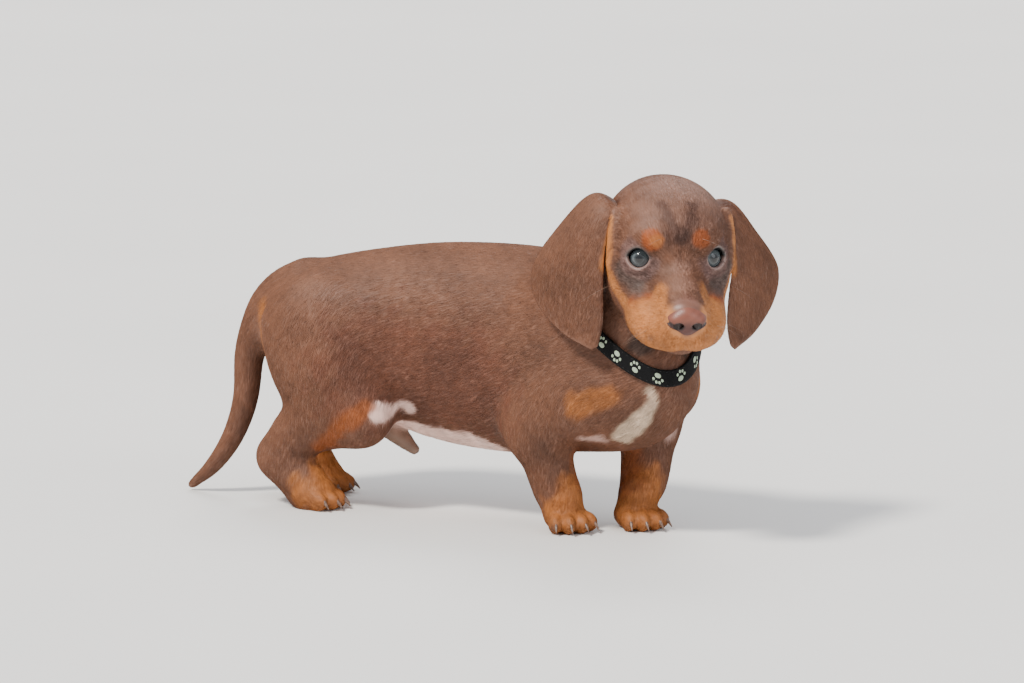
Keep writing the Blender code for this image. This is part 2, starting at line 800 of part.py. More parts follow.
def main():
    for obj in list(bpy.data.objects):
        bpy.data.objects.remove(obj)
    body = add_object("torso", lumps_mesh(FORMS))
    remesh(body, 2.6)
    relax(body.data, 3)
    settle(body.data, body_distance, 3)
    remesh(body, 2.0)
    relax(body.data, 2)
    settle(body.data, body_distance, 2)
    thin_out(body, 24000)
    pieces = [part_off("head", body, HEAD_CUT), part_off("neck", body, NECK_CUT)]
    pieces.append(part_off("tail", body, tail_sleeve))
    for name, region in REGIONS.items():
        pieces.append(part_off(name, body, region))
    largest_piece(body)
    pieces.append(body)
    for piece in pieces:
        thin_out(piece, TRIANGLES[piece.name])
        largest_piece(piece)
        if piece.name.startswith("leg"):
            above_sole = half_space((0, 0, SOLE_HEIGHT), (0, 0, 1))(0.0)
            boolean(piece, above_sole, "INTERSECT")
            largest_piece(piece)
            drop(above_sole)
    head_piece, tail_piece = pieces[0], pieces[2]
    swollen_tail = copy_of(tail_piece, "swollen_tail", GAP)
    boolean(body, swollen_tail, "DIFFERENCE")
    largest_piece(body)
    swollen = copy_of(head_piece, "swollen", GAP)
    for side in (1, -1):
        flap = ear(side)
        boolean(flap, swollen, "DIFFERENCE")
        largest_piece(flap)
        pieces.append(flap)
    pad = nose()
    boolean(pad, swollen, "DIFFERENCE")
    largest_piece(pad)
    thin_out(pad, 700)
    largest_piece(pad)
    pieces.append(pad)
    drop(swollen)
    for side in (1, -1):
        for tool in eye_socket(side):
            boolean(head_piece, tool, "DIFFERENCE")
            drop(tool)
        pieces.append(eye(side))
    for side in (1, -1):
        tool = mouth_line(side)
        boolean(head_piece, tool, "DIFFERENCE")
        drop(tool)
    thin_out(head_piece, TRIANGLES["head"])
    largest_piece(head_piece)
    for name, heading_of_toes, paw_at, size, leg in claw_roots(pieces):
        for toe in range(len(TOES)):
            frame = toe_frame(paw_at, heading_of_toes, size, toe)
            root, aim = frame(5 * size, 0, 1.5), frame.direction(1, 0, -0.1)
            nail = claw(f"claw_{name}_{toe + 1}", root, aim, 7.5 * size, 2.1)
            boolean(nail, leg, "DIFFERENCE")
            largest_piece(nail)
            pieces.append(nail)
    drop(*[obj for obj in bpy.data.objects if obj.name.startswith("swollen")])
    pieces.append(collar())
    finish(pieces)
    for piece in pieces:
        print(piece.name, len(piece.data.polygons))


if __name__ == "__main__":
    main()
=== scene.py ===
# %% [markdown]
# # A chocolate-and-tan dachshund puppy
#
# The imported model gives the size, the pose and the bodies. This script puts a
# finished animal over it: one smooth skin with lids, lips and folds, wet eyes, a nose, claws, a
# collar, and a short flat coat made of fine tufts. Everything is worked out in millimetres in the
# frame in which the puppy was drawn, and is turned to metres when a mesh is made.

# %% Load the imported model
import json
import math

import bmesh
import bpy
import numpy as np
from mathutils import Matrix, Vector
from mathutils.bvhtree import BVHTree

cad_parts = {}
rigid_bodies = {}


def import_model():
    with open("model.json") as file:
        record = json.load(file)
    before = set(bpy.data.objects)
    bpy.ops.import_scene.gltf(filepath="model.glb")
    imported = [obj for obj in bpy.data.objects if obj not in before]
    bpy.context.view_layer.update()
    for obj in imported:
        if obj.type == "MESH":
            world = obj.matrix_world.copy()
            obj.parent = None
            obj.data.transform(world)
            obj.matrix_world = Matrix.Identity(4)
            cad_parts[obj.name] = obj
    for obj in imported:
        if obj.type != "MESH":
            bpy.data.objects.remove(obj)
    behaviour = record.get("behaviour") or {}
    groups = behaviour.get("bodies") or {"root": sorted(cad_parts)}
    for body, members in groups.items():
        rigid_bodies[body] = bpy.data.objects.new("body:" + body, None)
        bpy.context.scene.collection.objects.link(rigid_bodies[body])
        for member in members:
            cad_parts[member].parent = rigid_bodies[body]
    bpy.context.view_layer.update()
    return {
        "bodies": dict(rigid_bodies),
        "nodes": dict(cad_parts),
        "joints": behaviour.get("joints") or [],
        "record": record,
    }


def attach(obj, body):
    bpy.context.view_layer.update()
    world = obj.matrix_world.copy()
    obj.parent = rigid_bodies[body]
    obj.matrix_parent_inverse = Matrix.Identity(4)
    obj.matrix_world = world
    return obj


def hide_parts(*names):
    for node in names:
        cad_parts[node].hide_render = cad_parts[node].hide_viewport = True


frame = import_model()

print("packed nodes:", len(frame["nodes"]))

# %% [markdown]
# ## Sizes
# These are the puppy's own sizes in millimetres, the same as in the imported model. SHIFT carries a
# place from the drawing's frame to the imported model's frame.

# %% Sizes
MM = 0.001
SHIFT = np.array([19.034, 27.186, -0.5])
SKULL_WIDTH = 76.0
EYE_RADIUS = 8.2
SOLE_HEIGHT = 0.5
EYE_PLACE = np.array([24.8, 19.0, -6.0])
EAR_THICKNESS = 2.8
COLLAR_WIDTH = 10.0
COLLAR_THICKNESS = 1.6
COLLAR_CLEARANCE = 0.9
PELVIS_HEADING = 9.0
CHEST_HEADING = -25.0
HEAD_HEADING = -53.0
HEAD_PITCH = -15.0
HEAD_ROLL = -1.5

rng = np.random.default_rng(7)


def to_frame(points):
    """Places in millimetres in the drawing's frame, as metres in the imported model's frame."""
    return (np.asarray(points, float) + SHIFT) * MM


# %% [markdown]
# ## Camera and light
# The photograph was taken from the puppy's right and a little above it, from far enough away that
# the picture is nearly without perspective.

# %% Camera and light
CAMERA_AZIMUTH = 27.0
CAMERA_ELEVATION = 9.0
CAMERA_DISTANCE = 5.0
PIXELS_PER_MM = 1.7
FRAME_WIDTH = 1024
SENSOR = 36.0


def towards(azimuth, elevation):
    """The unit vector from the puppy to a viewer there. Azimuth 0 looks at its right side."""
    a, e = math.radians(azimuth), math.radians(elevation)
    return Vector((math.sin(a) * math.cos(e), -math.cos(a) * math.cos(e), math.sin(e)))


def look_at(obj, place, target):
    obj.location = place
    obj.rotation_euler = (Vector(target) - Vector(place)).to_track_quat("-Z", "Y").to_euler()


target = Vector(to_frame((0, 0, 103.3)))
bpy.ops.object.camera_add()
camera = bpy.context.object
camera.name = "camera"
camera.data.sensor_width = SENSOR
camera.data.lens = SENSOR * CAMERA_DISTANCE * 1000 * PIXELS_PER_MM / FRAME_WIDTH
camera.data.clip_end = 50
look_at(camera, target + CAMERA_DISTANCE * towards(CAMERA_AZIMUTH, CAMERA_ELEVATION), target)
bpy.context.scene.camera = camera


def sun_light(name, azimuth, elevation, softness, strength, colour):
    """A far light as wide in the sky as softness, in degrees, so that the floor is lit evenly."""
    bpy.ops.object.light_add(type="SUN")
    light = bpy.context.object
    light.name = name
    light.data.angle = math.radians(softness)
    light.data.energy = strength
    light.data.color = colour
    look_at(light, target + 3 * towards(azimuth, elevation), target)


sun_light("key", -18, 52, 11, 4.2, (1.0, 0.96, 0.9))
sun_light("fill", 75, 25, 40, 0.7, (0.93, 0.96, 1.0))
sun_light("rim", 200, 48, 30, 1.2, (1.0, 1.0, 1.0))
world = bpy.data.worlds.new("studio")
bpy.context.scene.world = world
world.use_nodes = True
world.node_tree.nodes["Background"].inputs["Color"].default_value = (0.9, 0.93, 1.0, 1)
world.node_tree.nodes["Background"].inputs["Strength"].default_value = 0.85
print("camera lens:", round(camera.data.lens, 1), "mm")

# %% [markdown]
# ## The flesh as blended masses
# A young dachshund is a long barrel on short thick legs. Each mass is an ellipsoid or a limb swept
# along a smooth path, and says how far a point is outside it. Joining meshes by Booleans would leave
# a crease at every root. Blending distances instead gives one smooth body, as clay on an armature.

# %% Masses
def heading(degrees):
    """The level unit vector that points that way."""
    return np.array([math.cos(math.radians(degrees)), math.sin(math.radians(degrees)), 0.0])


def unit(vector):
    return np.asarray(vector, float) / np.linalg.norm(vector)


class Frame:
    """A turned set of axes: forward, left and up, in the columns of its matrix, round its origin."""

    def __init__(self, origin, yaw, pitch=0.0, roll=0.0):
        self.origin = np.array(origin, float)
        turn = Matrix.Rotation(math.radians(yaw), 3, "Z")
        turn = turn @ Matrix.Rotation(math.radians(-pitch), 3, "Y")
        turn = turn @ Matrix.Rotation(math.radians(roll), 3, "X")
        self.axes = np.array(turn)

    def __call__(self, forward, left, up):
        return self.origin + self.axes @ np.array([forward, left, up], float)

    def direction(self, forward, left, up):
        return unit(self.axes @ np.array([forward, left, up], float))


HEAD = Frame((122.39, -43.49, 182.8), HEAD_HEADING, HEAD_PITCH, HEAD_ROLL)
CHEST = Frame((79.0, -17.0, 100.0), CHEST_HEADING)
PELVIS = Frame((-115.0, -8.0, 108.0), PELVIS_HEADING)


def smooth_path(points, samples):
    """Evenly numbered places on a smooth curve through the points, every column alike."""
    points = np.asarray(points, float)
    ends = np.vstack([2 * points[0] - points[1], points, 2 * points[-1] - points[-2]])
    at = np.linspace(0, len(points) - 1, samples)
    i = np.minimum(at.astype(int), len(points) - 2)
    t = (at - i)[:, None]
    a, b, c, d = ends[i], ends[i + 1], ends[i + 2], ends[i + 3]
    return 0.5 * (2 * b + (c - a) * t + (2 * a - 5 * b + 4 * c - d) * t**2 + (3 * b - a - 3 * c + d) * t**3)


class Ball:
    """An ellipsoid mass. distance() is roughly how far a point is outside its surface."""

    def __init__(self, centre, radii, axes=None):
        self.centre = np.array(centre, float)
        self.radii = np.array(radii, float)
        self.axes = np.eye(3) if axes is None else np.array(axes, float)

    def box(self):
        reach = self.radii.max()
        return self.centre - reach, self.centre + reach

    def distance(self, p):
        q = (p - self.centre) @ self.axes
        near = np.linalg.norm(q / self.radii, axis=1) + 1e-9
        slope = np.linalg.norm(q / self.radii**2, axis=1) + 1e-9
        return near * (near - 1) / slope

    def lumps(self):
        return [(self.centre, self.radii, self.axes)]


class Limb:
    """A swept mass through stations of (x, y, z, half width, half height), its width along a side axis."""

    def __init__(self, stations, side, samples=14):
        path = smooth_path(stations, samples)
        self.points, self.width, self.height = path[:, :3], path[:, 3], path[:, 4]
        along = np.diff(self.points, axis=0)
        side = np.array(side, float) - (along @ side / (along**2).sum(1))[:, None] * along
        self.side = side / np.linalg.norm(side, axis=1)[:, None]

    def box(self):
        reach = max(self.width.max(), self.height.max())
        return self.points.min(0) - reach, self.points.max(0) + reach

    def distance(self, p):
        nearest = np.full(len(p), 1e9)
        for i, side in enumerate(self.side):
            start, along = self.points[i], self.points[i + 1] - self.points[i]
            t = np.clip((p - start) @ along / (along @ along), 0, 1)
            q = p - start - t[:, None] * along
            width = self.width[i] + t * (self.width[i + 1] - self.width[i])
            height = self.height[i] + t * (self.height[i + 1] - self.height[i])
            across = q @ side
            far = np.linalg.norm(q, axis=1) + 1e-9
            rest = np.sqrt(np.maximum(far**2 - across**2, 0))
            share = np.sqrt((across / width) ** 2 + (rest / height) ** 2)
            nearest = np.minimum(nearest, far - far / share)
        return nearest

    def lumps(self):
        found = []
        apart = np.linalg.norm(np.diff(self.points, axis=0), axis=1).mean()
        step = max(1, round(0.3 * self.height.max() / apart))
        for i, point in list(enumerate(self.points))[::step]:
            j = min(i, len(self.side) - 1)
            along = unit(self.points[j + 1] - self.points[j])
            axes = np.column_stack([along, self.side[j], np.cross(along, self.side[j])])
            found.append((point, (self.height[i], self.width[i], self.height[i]), axes))
        return found


class Stroke:
    """A line or spot in the skin, raised where its height is positive, that fades over its width."""

    def __init__(self, points, width, height):
        points = np.atleast_2d(np.asarray(points, float))
        self.points = smooth_path(points, 5 * len(points)) if len(points) > 1 else points
        self.width = width
        self.height = height

    def box(self):
        return self.points.min(0) - 3 * self.width, self.points.max(0) + 3 * self.width

    def distance(self, p):
        """How far each point is from the line."""
        nearest = np.linalg.norm(p - self.points[0], axis=1)
        for start, end in zip(self.points[:-1], self.points[1:]):
            along = end - start
            t = np.clip((p - start) @ along / (along @ along + 1e-12), 0, 1)
            nearest = np.minimum(nearest, np.linalg.norm(p - start - t[:, None] * along, axis=1))
        return nearest

    def lift(self, p):
        return self.height * np.exp(-((self.distance(p) / self.width) ** 2))


def trunk():
    """Rump, belly and chest in one swept mass, curved towards the side that the puppy looks to."""
    stations = [
        (-142, -13, 108, 16, 20),
        (-132, -11, 108, 30, 30),
        (-112, -7, 106, 39, 41),
        (-80, -2, 105, 44, 49),
        (-42, 1, 100.5, 47, 59),
        (0, 0, 99.5, 48.5, 62),
        (38, -5, 101, 47, 59.5),
        (66, -14, 102, 42, 57),
        (86, -22, 98, 36, 49),
        (99, -28, 92, 27, 36),
    ]
    return [(Limb(stations, (0, 1, 0), 48), 0)]


def neck():
    stations = [
        (*CHEST(-12, 0, 22), 34, 40),
        (*CHEST(6, 0, 34), 32, 36),
        (103, -31, 150, 30, 34),
        (*HEAD(-18, 0, -12), 29, 30),
    ]
    return [(Limb(stations, CHEST.direction(0, 1, 0)), 22)]


def shoulders():
    forms = []
    for side in (1, -1):
        blade = CHEST(-16, 30 * side, 12)
        forms.append((Ball(blade, (29, 13, 37), CHEST.axes), 16))
        point = CHEST(16, 27 * side, -14)
        forms.append((Ball(point, (18, 14, 20), CHEST.axes), 12))
    forms.append((Ball(CHEST(30, 0, -14), (12, 10, 20), CHEST.axes), 14))
    return forms


def foreleg(elbow, wrist, paw_at, toes_heading, side):
    """Upper arm, forearm and wrist. The forearm is thick with loose skin above the wrist."""
    across = heading(toes_heading + 90)
    top = CHEST(-6, 32 * side, -20)
    arm = Limb([(*top, 17, 23), (*elbow, 15.5, 21)], across, 6)
    mid = (np.array(elbow) + np.array(wrist)) / 2 + (0, 0, 1)
    pastern = (np.array(wrist) + np.array(paw_at)) / 2 + (0, 0, 3)
    fore = [(*elbow, 15, 21), (*mid, 14.5, 20), (*wrist, 13.5, 17.5), (*pastern, 12.5, 15)]
    return [(arm, 14), (Limb(fore, across), 9), *paw(paw_at, toes_heading, 1.0)]


def hindleg(knee, hock, paw_at, toes_heading, side):
    """Thigh, lower leg and rear pastern, with the hock's point at the back."""
    across = heading(toes_heading + 90)
    thigh = Ball(PELVIS(4, 27 * side, -14), (35, 19, 44), PELVIS.axes)
    upper = Limb([(*PELVIS(10, 28 * side, -22), 18, 28), (*knee, 15, 19)], across, 6)
    shin = np.array(knee) * 0.4 + np.array(hock) * 0.6 + (-2, 0, 8)
    lower = Limb([(*knee, 14, 19), (*shin, 12.5, 18), (*hock, 11, 14)], across)
    ankle = (np.array(hock) + np.array(paw_at)) / 2 + (0, 0, 1)
    rear = Limb([(*hock, 11, 13), (*ankle, 12, 15), (*paw_at, 12, 13)], across, 8)
    return [(thigh, 16), (upper, 12), (lower, 10), (rear, 6), *paw(paw_at, toes_heading, 0.94)]


TOES = ((8.0, -9.6), (12.5, -3.6), (12.5, 3.6), (8.0, 9.6))
TOE_HEIGHT = 6.4


def toe_frame(paw_at, toes_heading, size, toe):
    forward, left = TOES[toe]
    base = Frame((paw_at[0], paw_at[1], 0), toes_heading)
    return Frame(base(forward * size, left * size, TOE_HEIGHT * size), toes_heading + 2.0 * left)


def paw(paw_at, toes_heading, size):
    """A round paw with four toes close together and a pad under them."""
    base = Frame((paw_at[0], paw_at[1], 0), toes_heading)
    forms = [(Ball(base(-1 * size, 0, 8 * size), np.array((15, 12.5, 9.5)) * size, base.axes), 6)]
    for toe in range(len(TOES)):
        at_toe = toe_frame(paw_at, toes_heading, size, toe)
        forms.append((Ball(at_toe.origin, np.array((9.0, 4.9, 6.6)) * size, at_toe.axes), 2.2))
    return forms


def sheath():
    """The small sheath under the belly, which shows that the puppy is a male."""
    stations = [(-94, 0, 52, 7, 7), (-82, 0, 45, 6, 6.5), (-72, 0, 39, 5, 5.5), (-65, 0, 34, 3.4, 3.8)]
    return [(Limb(stations, (0, 1, 0), 10), 8)]


def tail():
    """Carried low, and curved back where its end nears the floor."""
    stations = [
        (-132, -11, 130, 15, 15),
        (-146, -13, 125, 12, 12.5),
        (-158, -15, 112, 10.5, 11),
        (-167, -16, 88, 9.2, 9.4),
        (-170, -16, 60, 7.8, 8.0),
        (-178, -16.5, 37, 6.6, 6.8),
        (-191, -17, 18, 5.2, 5.3),
        (-207, -16, 4, 2.8, 3.0),
    ]
    return [(Limb(stations, (0, 1, 0), 30), 9)]


def ear_fold(side):
    """The fold of skin in front of the ear's root."""
    return [
        (*HEAD(5, 33.5 * side, 13), 3, 4),
        (*HEAD(12, 34.5 * side, 1), 3.2, 4),
        (*HEAD(16, 34 * side, -12), 3, 4),
    ]


def head():
    """Skull, cheeks, brows, muzzle with its hanging lips, and the jaw beneath them."""
    half = SKULL_WIDTH / 2
    axes = HEAD.axes
    forms = [
        (Ball(HEAD(-2, 0, -2), (41, half - 2, 32), axes), 14),
        (Ball(HEAD(15, 0, 3), (24, 28, 23), axes), 10),
        (Ball(HEAD(0, 0, -24), (34, 31, 24), axes), 12),
    ]
    for side in (1, -1):
        forms += [
            (Ball(HEAD(10, 22 * side, -17), (22, 14, 17), axes), 10),
            (Ball(HEAD(24, 14 * side, 8), (12, 10, 8), axes), 8),
            (Ball(HEAD(*EYE_PLACE * (1, side, 1)), np.full(3, EYE_RADIUS + 1.5), axes), 6),
            (Limb(ear_fold(side), HEAD.direction(0, 1, 0), 8), 6),
        ]
    bridge = [
        (*HEAD(20, 0, -7), 18, 14),
        (*HEAD(38, 0, -14.5), 16.5, 12.5),
        (*HEAD(55, 0, -19.5), 13.5, 11),
        (*HEAD(66, 0, -23), 12, 10),
    ]
    forms.append((Limb(bridge, HEAD.direction(0, 1, 0), 10), 9))
    for side in (1, -1):
        lip = [
            (*HEAD(20, 21 * side, -30), 10, 15),
            (*HEAD(37, 18.5 * side, -34), 11.5, 15),
            (*HEAD(53, 15 * side, -35.5), 12.2, 13.5),
            (*HEAD(63, 8.5 * side, -35.5), 10.5, 12),
        ]
        forms.append((Limb(lip, HEAD.direction(0, 1, 0), 12), 10))
    jaw = [
        (*HEAD(4, 0, -38), 24, 14),
        (*HEAD(28, 0, -43), 19, 9.5),
        (*HEAD(48, 0, -46), 14, 7),
        (*HEAD(59, 0, -46.5), 9.5, 5.5),
    ]
    forms.append((Limb(jaw, HEAD.direction(0, 1, 0), 10), 2))
    return forms


FEET = {
    "front_right": (CHEST(-31, -38, -38), CHEST(-25, -28, -74), CHEST(-16, -27, -91), -42),
    "front_left": (CHEST(-12, 34, -37), CHEST(-3, 21, -72), CHEST(2, 11, -91), -34),
    "hind_right": ((-82, -37, 60), (-138, -33, 29), (-114, -35, 9), -2),
    "hind_left": ((-95, 25, 60), (-155, 15, 30), (-136, 17, 9), 6),
}


def flesh():
    """Every mass of the body in the order in which it is blended in, each with its blending distance."""
    forms = trunk() + shoulders() + neck() + tail() + sheath() + head()
    for name, (joint, ankle, paw_at, toes) in FEET.items():
        side = 1 if name.endswith("left") else -1
        build = foreleg if name.startswith("front") else hindleg
        forms += build(joint, ankle, paw_at, toes, side)
    return forms


def smooth_min(a, b, blend):
    blend = np.maximum(blend, 1e-6)
    near = np.maximum(blend - np.abs(a - b), 0) / blend
    return np.minimum(a, b) - near**2 * blend / 4


REACH = 26.0
FORMS = flesh()


def forms_distance(p, forms):
    """How far each point is outside the blended forms."""
    total = np.full(len(p), 1e3)
    for form, blend in forms:
        low, high = form.box()
        near = ((p > low - REACH) & (p < high + REACH)).all(1)
        if near.any():
            total[near] = smooth_min(total[near], form.distance(p[near]), blend)
    return total


# %% [markdown]
# ## Ears
# The ears hang like soft leather, folded over at the root. A swept mass would be too thick, so each
# ear is a thin flap round a middle surface that runs between a front and a back edge.

# %% Ears
EAR_ROWS, EAR_COLUMNS = 61, 33
EAR_FRONT = [
    (-1, 23, 9), (6, 33.5, 12.5), (14, 38.5, -3), (16, 39, -18),
    (16.5, 38, -34), (19, 37.5, -50), (22, 40, -63),
]
EAR_BACK = [
    (-27, 20, 2), (-25, 40, 12), (-22, 60, -8), (-20, 73, -31),
    (-13, 71, -49), (3, 58, -62), (20, 43, -66),
]
EAR_HALF = EAR_THICKNESS / 2 - 0.3


def ear_surface(side, along, across):
    """A place on the ear's middle: along from root to tip, across from its front edge to its back edge."""
    row = round((EAR_ROWS - 1) * along)
    front, back = smooth_path(EAR_FRONT, EAR_ROWS)[row], smooth_path(EAR_BACK, EAR_ROWS)[row]
    middle = 4 * across * (1 - across)
    fold = max(0.0, 1 - along / 0.45)
    out = 5.0 * math.sin(math.pi * min(1, along * 1.15)) * middle + 5.5 * fold * middle
    forward, left, up = front + across * (back - front) + out * np.array([0.62, 0.55, 0.35 + 0.5 * fold])
    if side > 0:
        left -= 1.5 + (1 - across) * math.sin(math.pi * min(1.0, along * 1.2))
        up -= 5.0 * math.sin(math.pi * min(1.0, along / 0.5))
    return HEAD(forward, side * left, up)


class Flap:
    """An ear's middle surface: its places, and a tree to measure distances from it."""

    def __init__(self, side):
        self.places = np.array([
            [ear_surface(side, i / (EAR_ROWS - 1), j / (EAR_COLUMNS - 1)) for j in range(EAR_COLUMNS)]
            for i in range(EAR_ROWS)
        ])
        corners = self.places.reshape(-1, 3)
        starts = [i * EAR_COLUMNS + j for i in range(EAR_ROWS - 1) for j in range(EAR_COLUMNS - 1)]
        quads = [(k, k + 1, k + EAR_COLUMNS + 1, k + EAR_COLUMNS) for k in starts]
        self.tree = BVHTree.FromPolygons([tuple(c) for c in corners], quads)
        self.low, self.high = corners.min(0) - 9, corners.max(0) + 9

    def measure(self, p):
        """Each point's distance from the flap's middle and how far down the flap it is, from 0 to 1."""
        far, along = np.full(len(p), 1e3), np.ones(len(p))
        for i in np.nonzero(((p > self.low) & (p < self.high)).all(1))[0]:
            _, _, quad, distance = self.tree.find_nearest(p[i])
            far[i] = distance
            along[i] = (quad // (EAR_COLUMNS - 1)) / (EAR_ROWS - 1)
        return far, along


FLAPS = {side: Flap(side) for side in (1, -1)}
print("ear rows:", EAR_ROWS)

# %% [markdown]
# ## The face
# Lids lie close round each eyeball. The mouth is the parting between the hanging lips and the jaw.
# Wrinkles run up between the brows, and fine creases lie in the lips and at the legs' bends.

# %% The face
COAT_DEPTH = 0.6
LID_WIDTH = 13.4
LID_HEIGHT = 11.8
LID_RISE = 0.3
MOUTH = [(71, 3, -47.5), (63, 11, -49.5), (52, 17, -49), (40, 21.5, -46.5), (30, 25, -42)]


def eye_frame(side):
    """The eye's own axes: forward is the middle of its opening, which looks outwards and a little up."""
    return Frame(HEAD(*EYE_PLACE * (1, side, 1)), HEAD_HEADING + 25 * side, HEAD_PITCH + 17, HEAD_ROLL)


def lid_share(frame, p):
    """How far each point is from the middle of the eye's opening: 1 at the lids' edge."""
    q = (p - frame.origin) @ frame.axes
    across = q[:, 1] / (LID_WIDTH / 2)
    up = (q[:, 2] - LID_RISE) / (LID_HEIGHT / 2 * (1 - 0.16 * np.clip(across, -1, 1) ** 2))
    return np.hypot(across, up), q


def eye_pocket(frame, p):
    """How far each point is outside the eye's opening and socket."""
    share, q = lid_share(frame, p)
    flare = 0.9 + 0.035 * np.clip(q[:, 0] - 7, 0, 9)
    cone = np.where(q[:, 0] > 2, (share - flare) * LID_HEIGHT / 2, 20.0)
    ball = np.linalg.norm(q, axis=1) - (EYE_RADIUS + 0.12)
    return smooth_min(cone, ball, 0.5)


EYES = {side: eye_frame(side) for side in (1, -1)}


def ring_on_eye(side, share, reach, start=0.0, end=math.tau, count=14):
    """Places round the eye's opening, at a share of its size."""
    turns = np.linspace(start, end, count)
    frame = EYES[side]
    wide, high = LID_WIDTH / 2 * share, LID_HEIGHT / 2 * share
    return [frame(reach, math.cos(t) * wide, LID_RISE + math.sin(t) * high) for t in turns]


def wrinkle(points, width, height):
    """A line in the head's own axes."""
    return Stroke([HEAD(*point) for point in points], width, height)


def face_strokes():
    lines = [
        wrinkle([(38, -5.5, 8), (37, -6.5, 14), (33, -9.5, 20)], 2.2, -0.8),
        wrinkle([(39, -1.5, 9), (38, -1.5, 16), (33, -2.5, 23)], 2.0, -0.7),
        wrinkle([(39, 3.0, 9), (37, 4.5, 16), (33, 6.0, 22)], 2.2, -0.8),
        wrinkle([(42, 0.7, -3), (41, 0.7, 3), (40, 0.7, 8)], 1.5, -0.5),
        wrinkle([(36, -17, 9)], 5.5, 0.8),
        wrinkle([(36, 13, 10)], 5.0, 0.8),
        wrinkle([(77, 0.4, -35), (76, 0.4, -41), (72, 0.4, -47)], 0.9, -1.3),
        wrinkle([(66, -13, -36), (60, -19, -41), (52, -23, -45)], 1.0, -0.5),
        wrinkle([(60, -16, -32), (53, -22, -37), (45, -25, -43)], 1.1, -0.5),
        wrinkle([(48, -22, -27), (42, -25.5, -31), (36, -28, -34)], 1.6, -0.7),
        wrinkle([(60, 16, -32), (53, 22, -37), (45, 25, -43)], 1.1, -0.5),
    ]
    for side in (1, -1):
        lines.append(Stroke([HEAD(x, y * side, z) for x, y, z in MOUTH], 1.1, -1.0))
        lines.append(Stroke(ring_on_eye(side, 1.12, 8.6), 0.9, 0.25))
        lines.append(Stroke(ring_on_eye(side, 1.62, 8.0, 0.15 * math.pi, 0.85 * math.pi), 1.0, -0.5))
        lines.append(Stroke(ring_on_eye(side, 1.65, 7.6, 1.2 * math.pi, 1.85 * math.pi), 1.2, -0.4))
        inner = [(33.5, 11.5 * side, -8.5), (36.0, 8.5 * side, -12.5)]
        lines.append(wrinkle(inner, 1.3, -0.6))
    return lines


STROKES = face_strokes()
print("face lines:", len(STROKES))


def skin_distance(p):
    """How far each point is outside the skin, which lies under the coat."""
    total = forms_distance(p, FORMS)
    for stroke in STROKES:
        low, high = stroke.box()
        near = ((p > low) & (p < high)).all(1)
        if near.any():
            total[near] -= stroke.lift(p[near])
    total += COAT_DEPTH
    for frame in EYES.values():
        near = np.linalg.norm(p - frame.origin, axis=1) < 24
        if near.any():
            total[near] = -smooth_min(-total[near], eye_pocket(frame, p[near]), 0.7)
    return np.maximum(total, SOLE_HEIGHT - p[:, 2])


# %% [markdown]
# ## One skin
# A puppy's skin has no seams. So the masses go into one mesh, which a voxel remesh fuses, and its
# vertices slide down the slope of the distance on to the surface. The pockets for the eyes are cut
# before a second, finer remesh, and the face is divided further, so that the lids and lips come out
# crisp. The ears' thin flaps would be ragged after a remesh, so they join the skin after it.

# %% Helpers for meshes
def lumps_mesh(forms):
    """The masses as overlapping ellipsoids in one mesh, ready for a voxel remesh to fuse them."""
    shape = bmesh.new()
    for form, _ in forms:
        for centre, radii, axes in form.lumps():
            place = Matrix(np.column_stack([axes * radii, centre]).tolist()).to_4x4()
            bmesh.ops.create_icosphere(shape, subdivisions=2, radius=1.0, matrix=place)
    mesh = bpy.data.meshes.new("lumps")
    shape.to_mesh(mesh)
    shape.free()
    return mesh


def settle(mesh, distance, rounds, reach=2.0):
    """Moves every vertex up or down the slope of distance until it lies where distance is nought."""
    place = np.empty(len(mesh.vertices) * 3)
    mesh.vertices.foreach_get("co", place)
    p = place.reshape(-1, 3)
    step = 0.15
    for _ in range(rounds):
        far = distance(p)
        slope = np.column_stack([distance(p + step * axis) - far for axis in np.eye(3)]) / step
        steep = np.maximum((slope**2).sum(1), 0.15)
        p -= slope * (np.clip(far, -reach, reach) / steep)[:, None]
    mesh.vertices.foreach_set("co", p.ravel())
    mesh.update()


def relax(mesh, times):
    """Evens out the mesh's vertices."""
    shape = bmesh.new()
    shape.from_mesh(mesh)
    for _ in range(times):
        bmesh.ops.smooth_vert(
            shape, verts=shape.verts, factor=0.5, use_axis_x=True, use_axis_y=True, use_axis_z=True
        )
    shape.to_mesh(mesh)
    shape.free()
    mesh.update()


def add_object(name, mesh):
    obj = bpy.data.objects.new(name, mesh)
    bpy.context.collection.objects.link(obj)
    return obj


def bake(obj):
    """Applies the object's modifiers."""
    graph = bpy.context.evaluated_depsgraph_get()
    mesh = bpy.data.meshes.new_from_object(obj.evaluated_get(graph))
    obj.modifiers.clear()
    old, obj.data = obj.data, mesh
    bpy.data.meshes.remove(old)


def remesh(obj, size):
    """Fuses the object's bodies into one closed surface of triangles."""
    change = obj.modifiers.new("remesh", "REMESH")
    change.mode = "VOXEL"
    change.voxel_size = size
    obj.modifiers.new("triangles", "TRIANGULATE")
    bake(obj)
    largest_piece(obj)


def largest_piece(obj):
    """Keeps only the largest closed surface of the object."""
    shape = bmesh.new()
    shape.from_mesh(obj.data)
    bmesh.ops.triangulate(shape, faces=shape.faces)
    left, pieces = set(shape.verts), []
    while left:
        piece, edge = set(), [left.pop()]
        while edge:
            vert = edge.pop()
            piece.add(vert)
            near = {e.other_vert(vert) for e in vert.link_edges} & left
            left -= near
            edge += near
        pieces.append(piece)
    pieces.sort(key=len)
    for piece in pieces[:-1]:
        bmesh.ops.delete(shape, geom=list(piece), context="VERTS")
    shape.to_mesh(obj.data)
    shape.free()


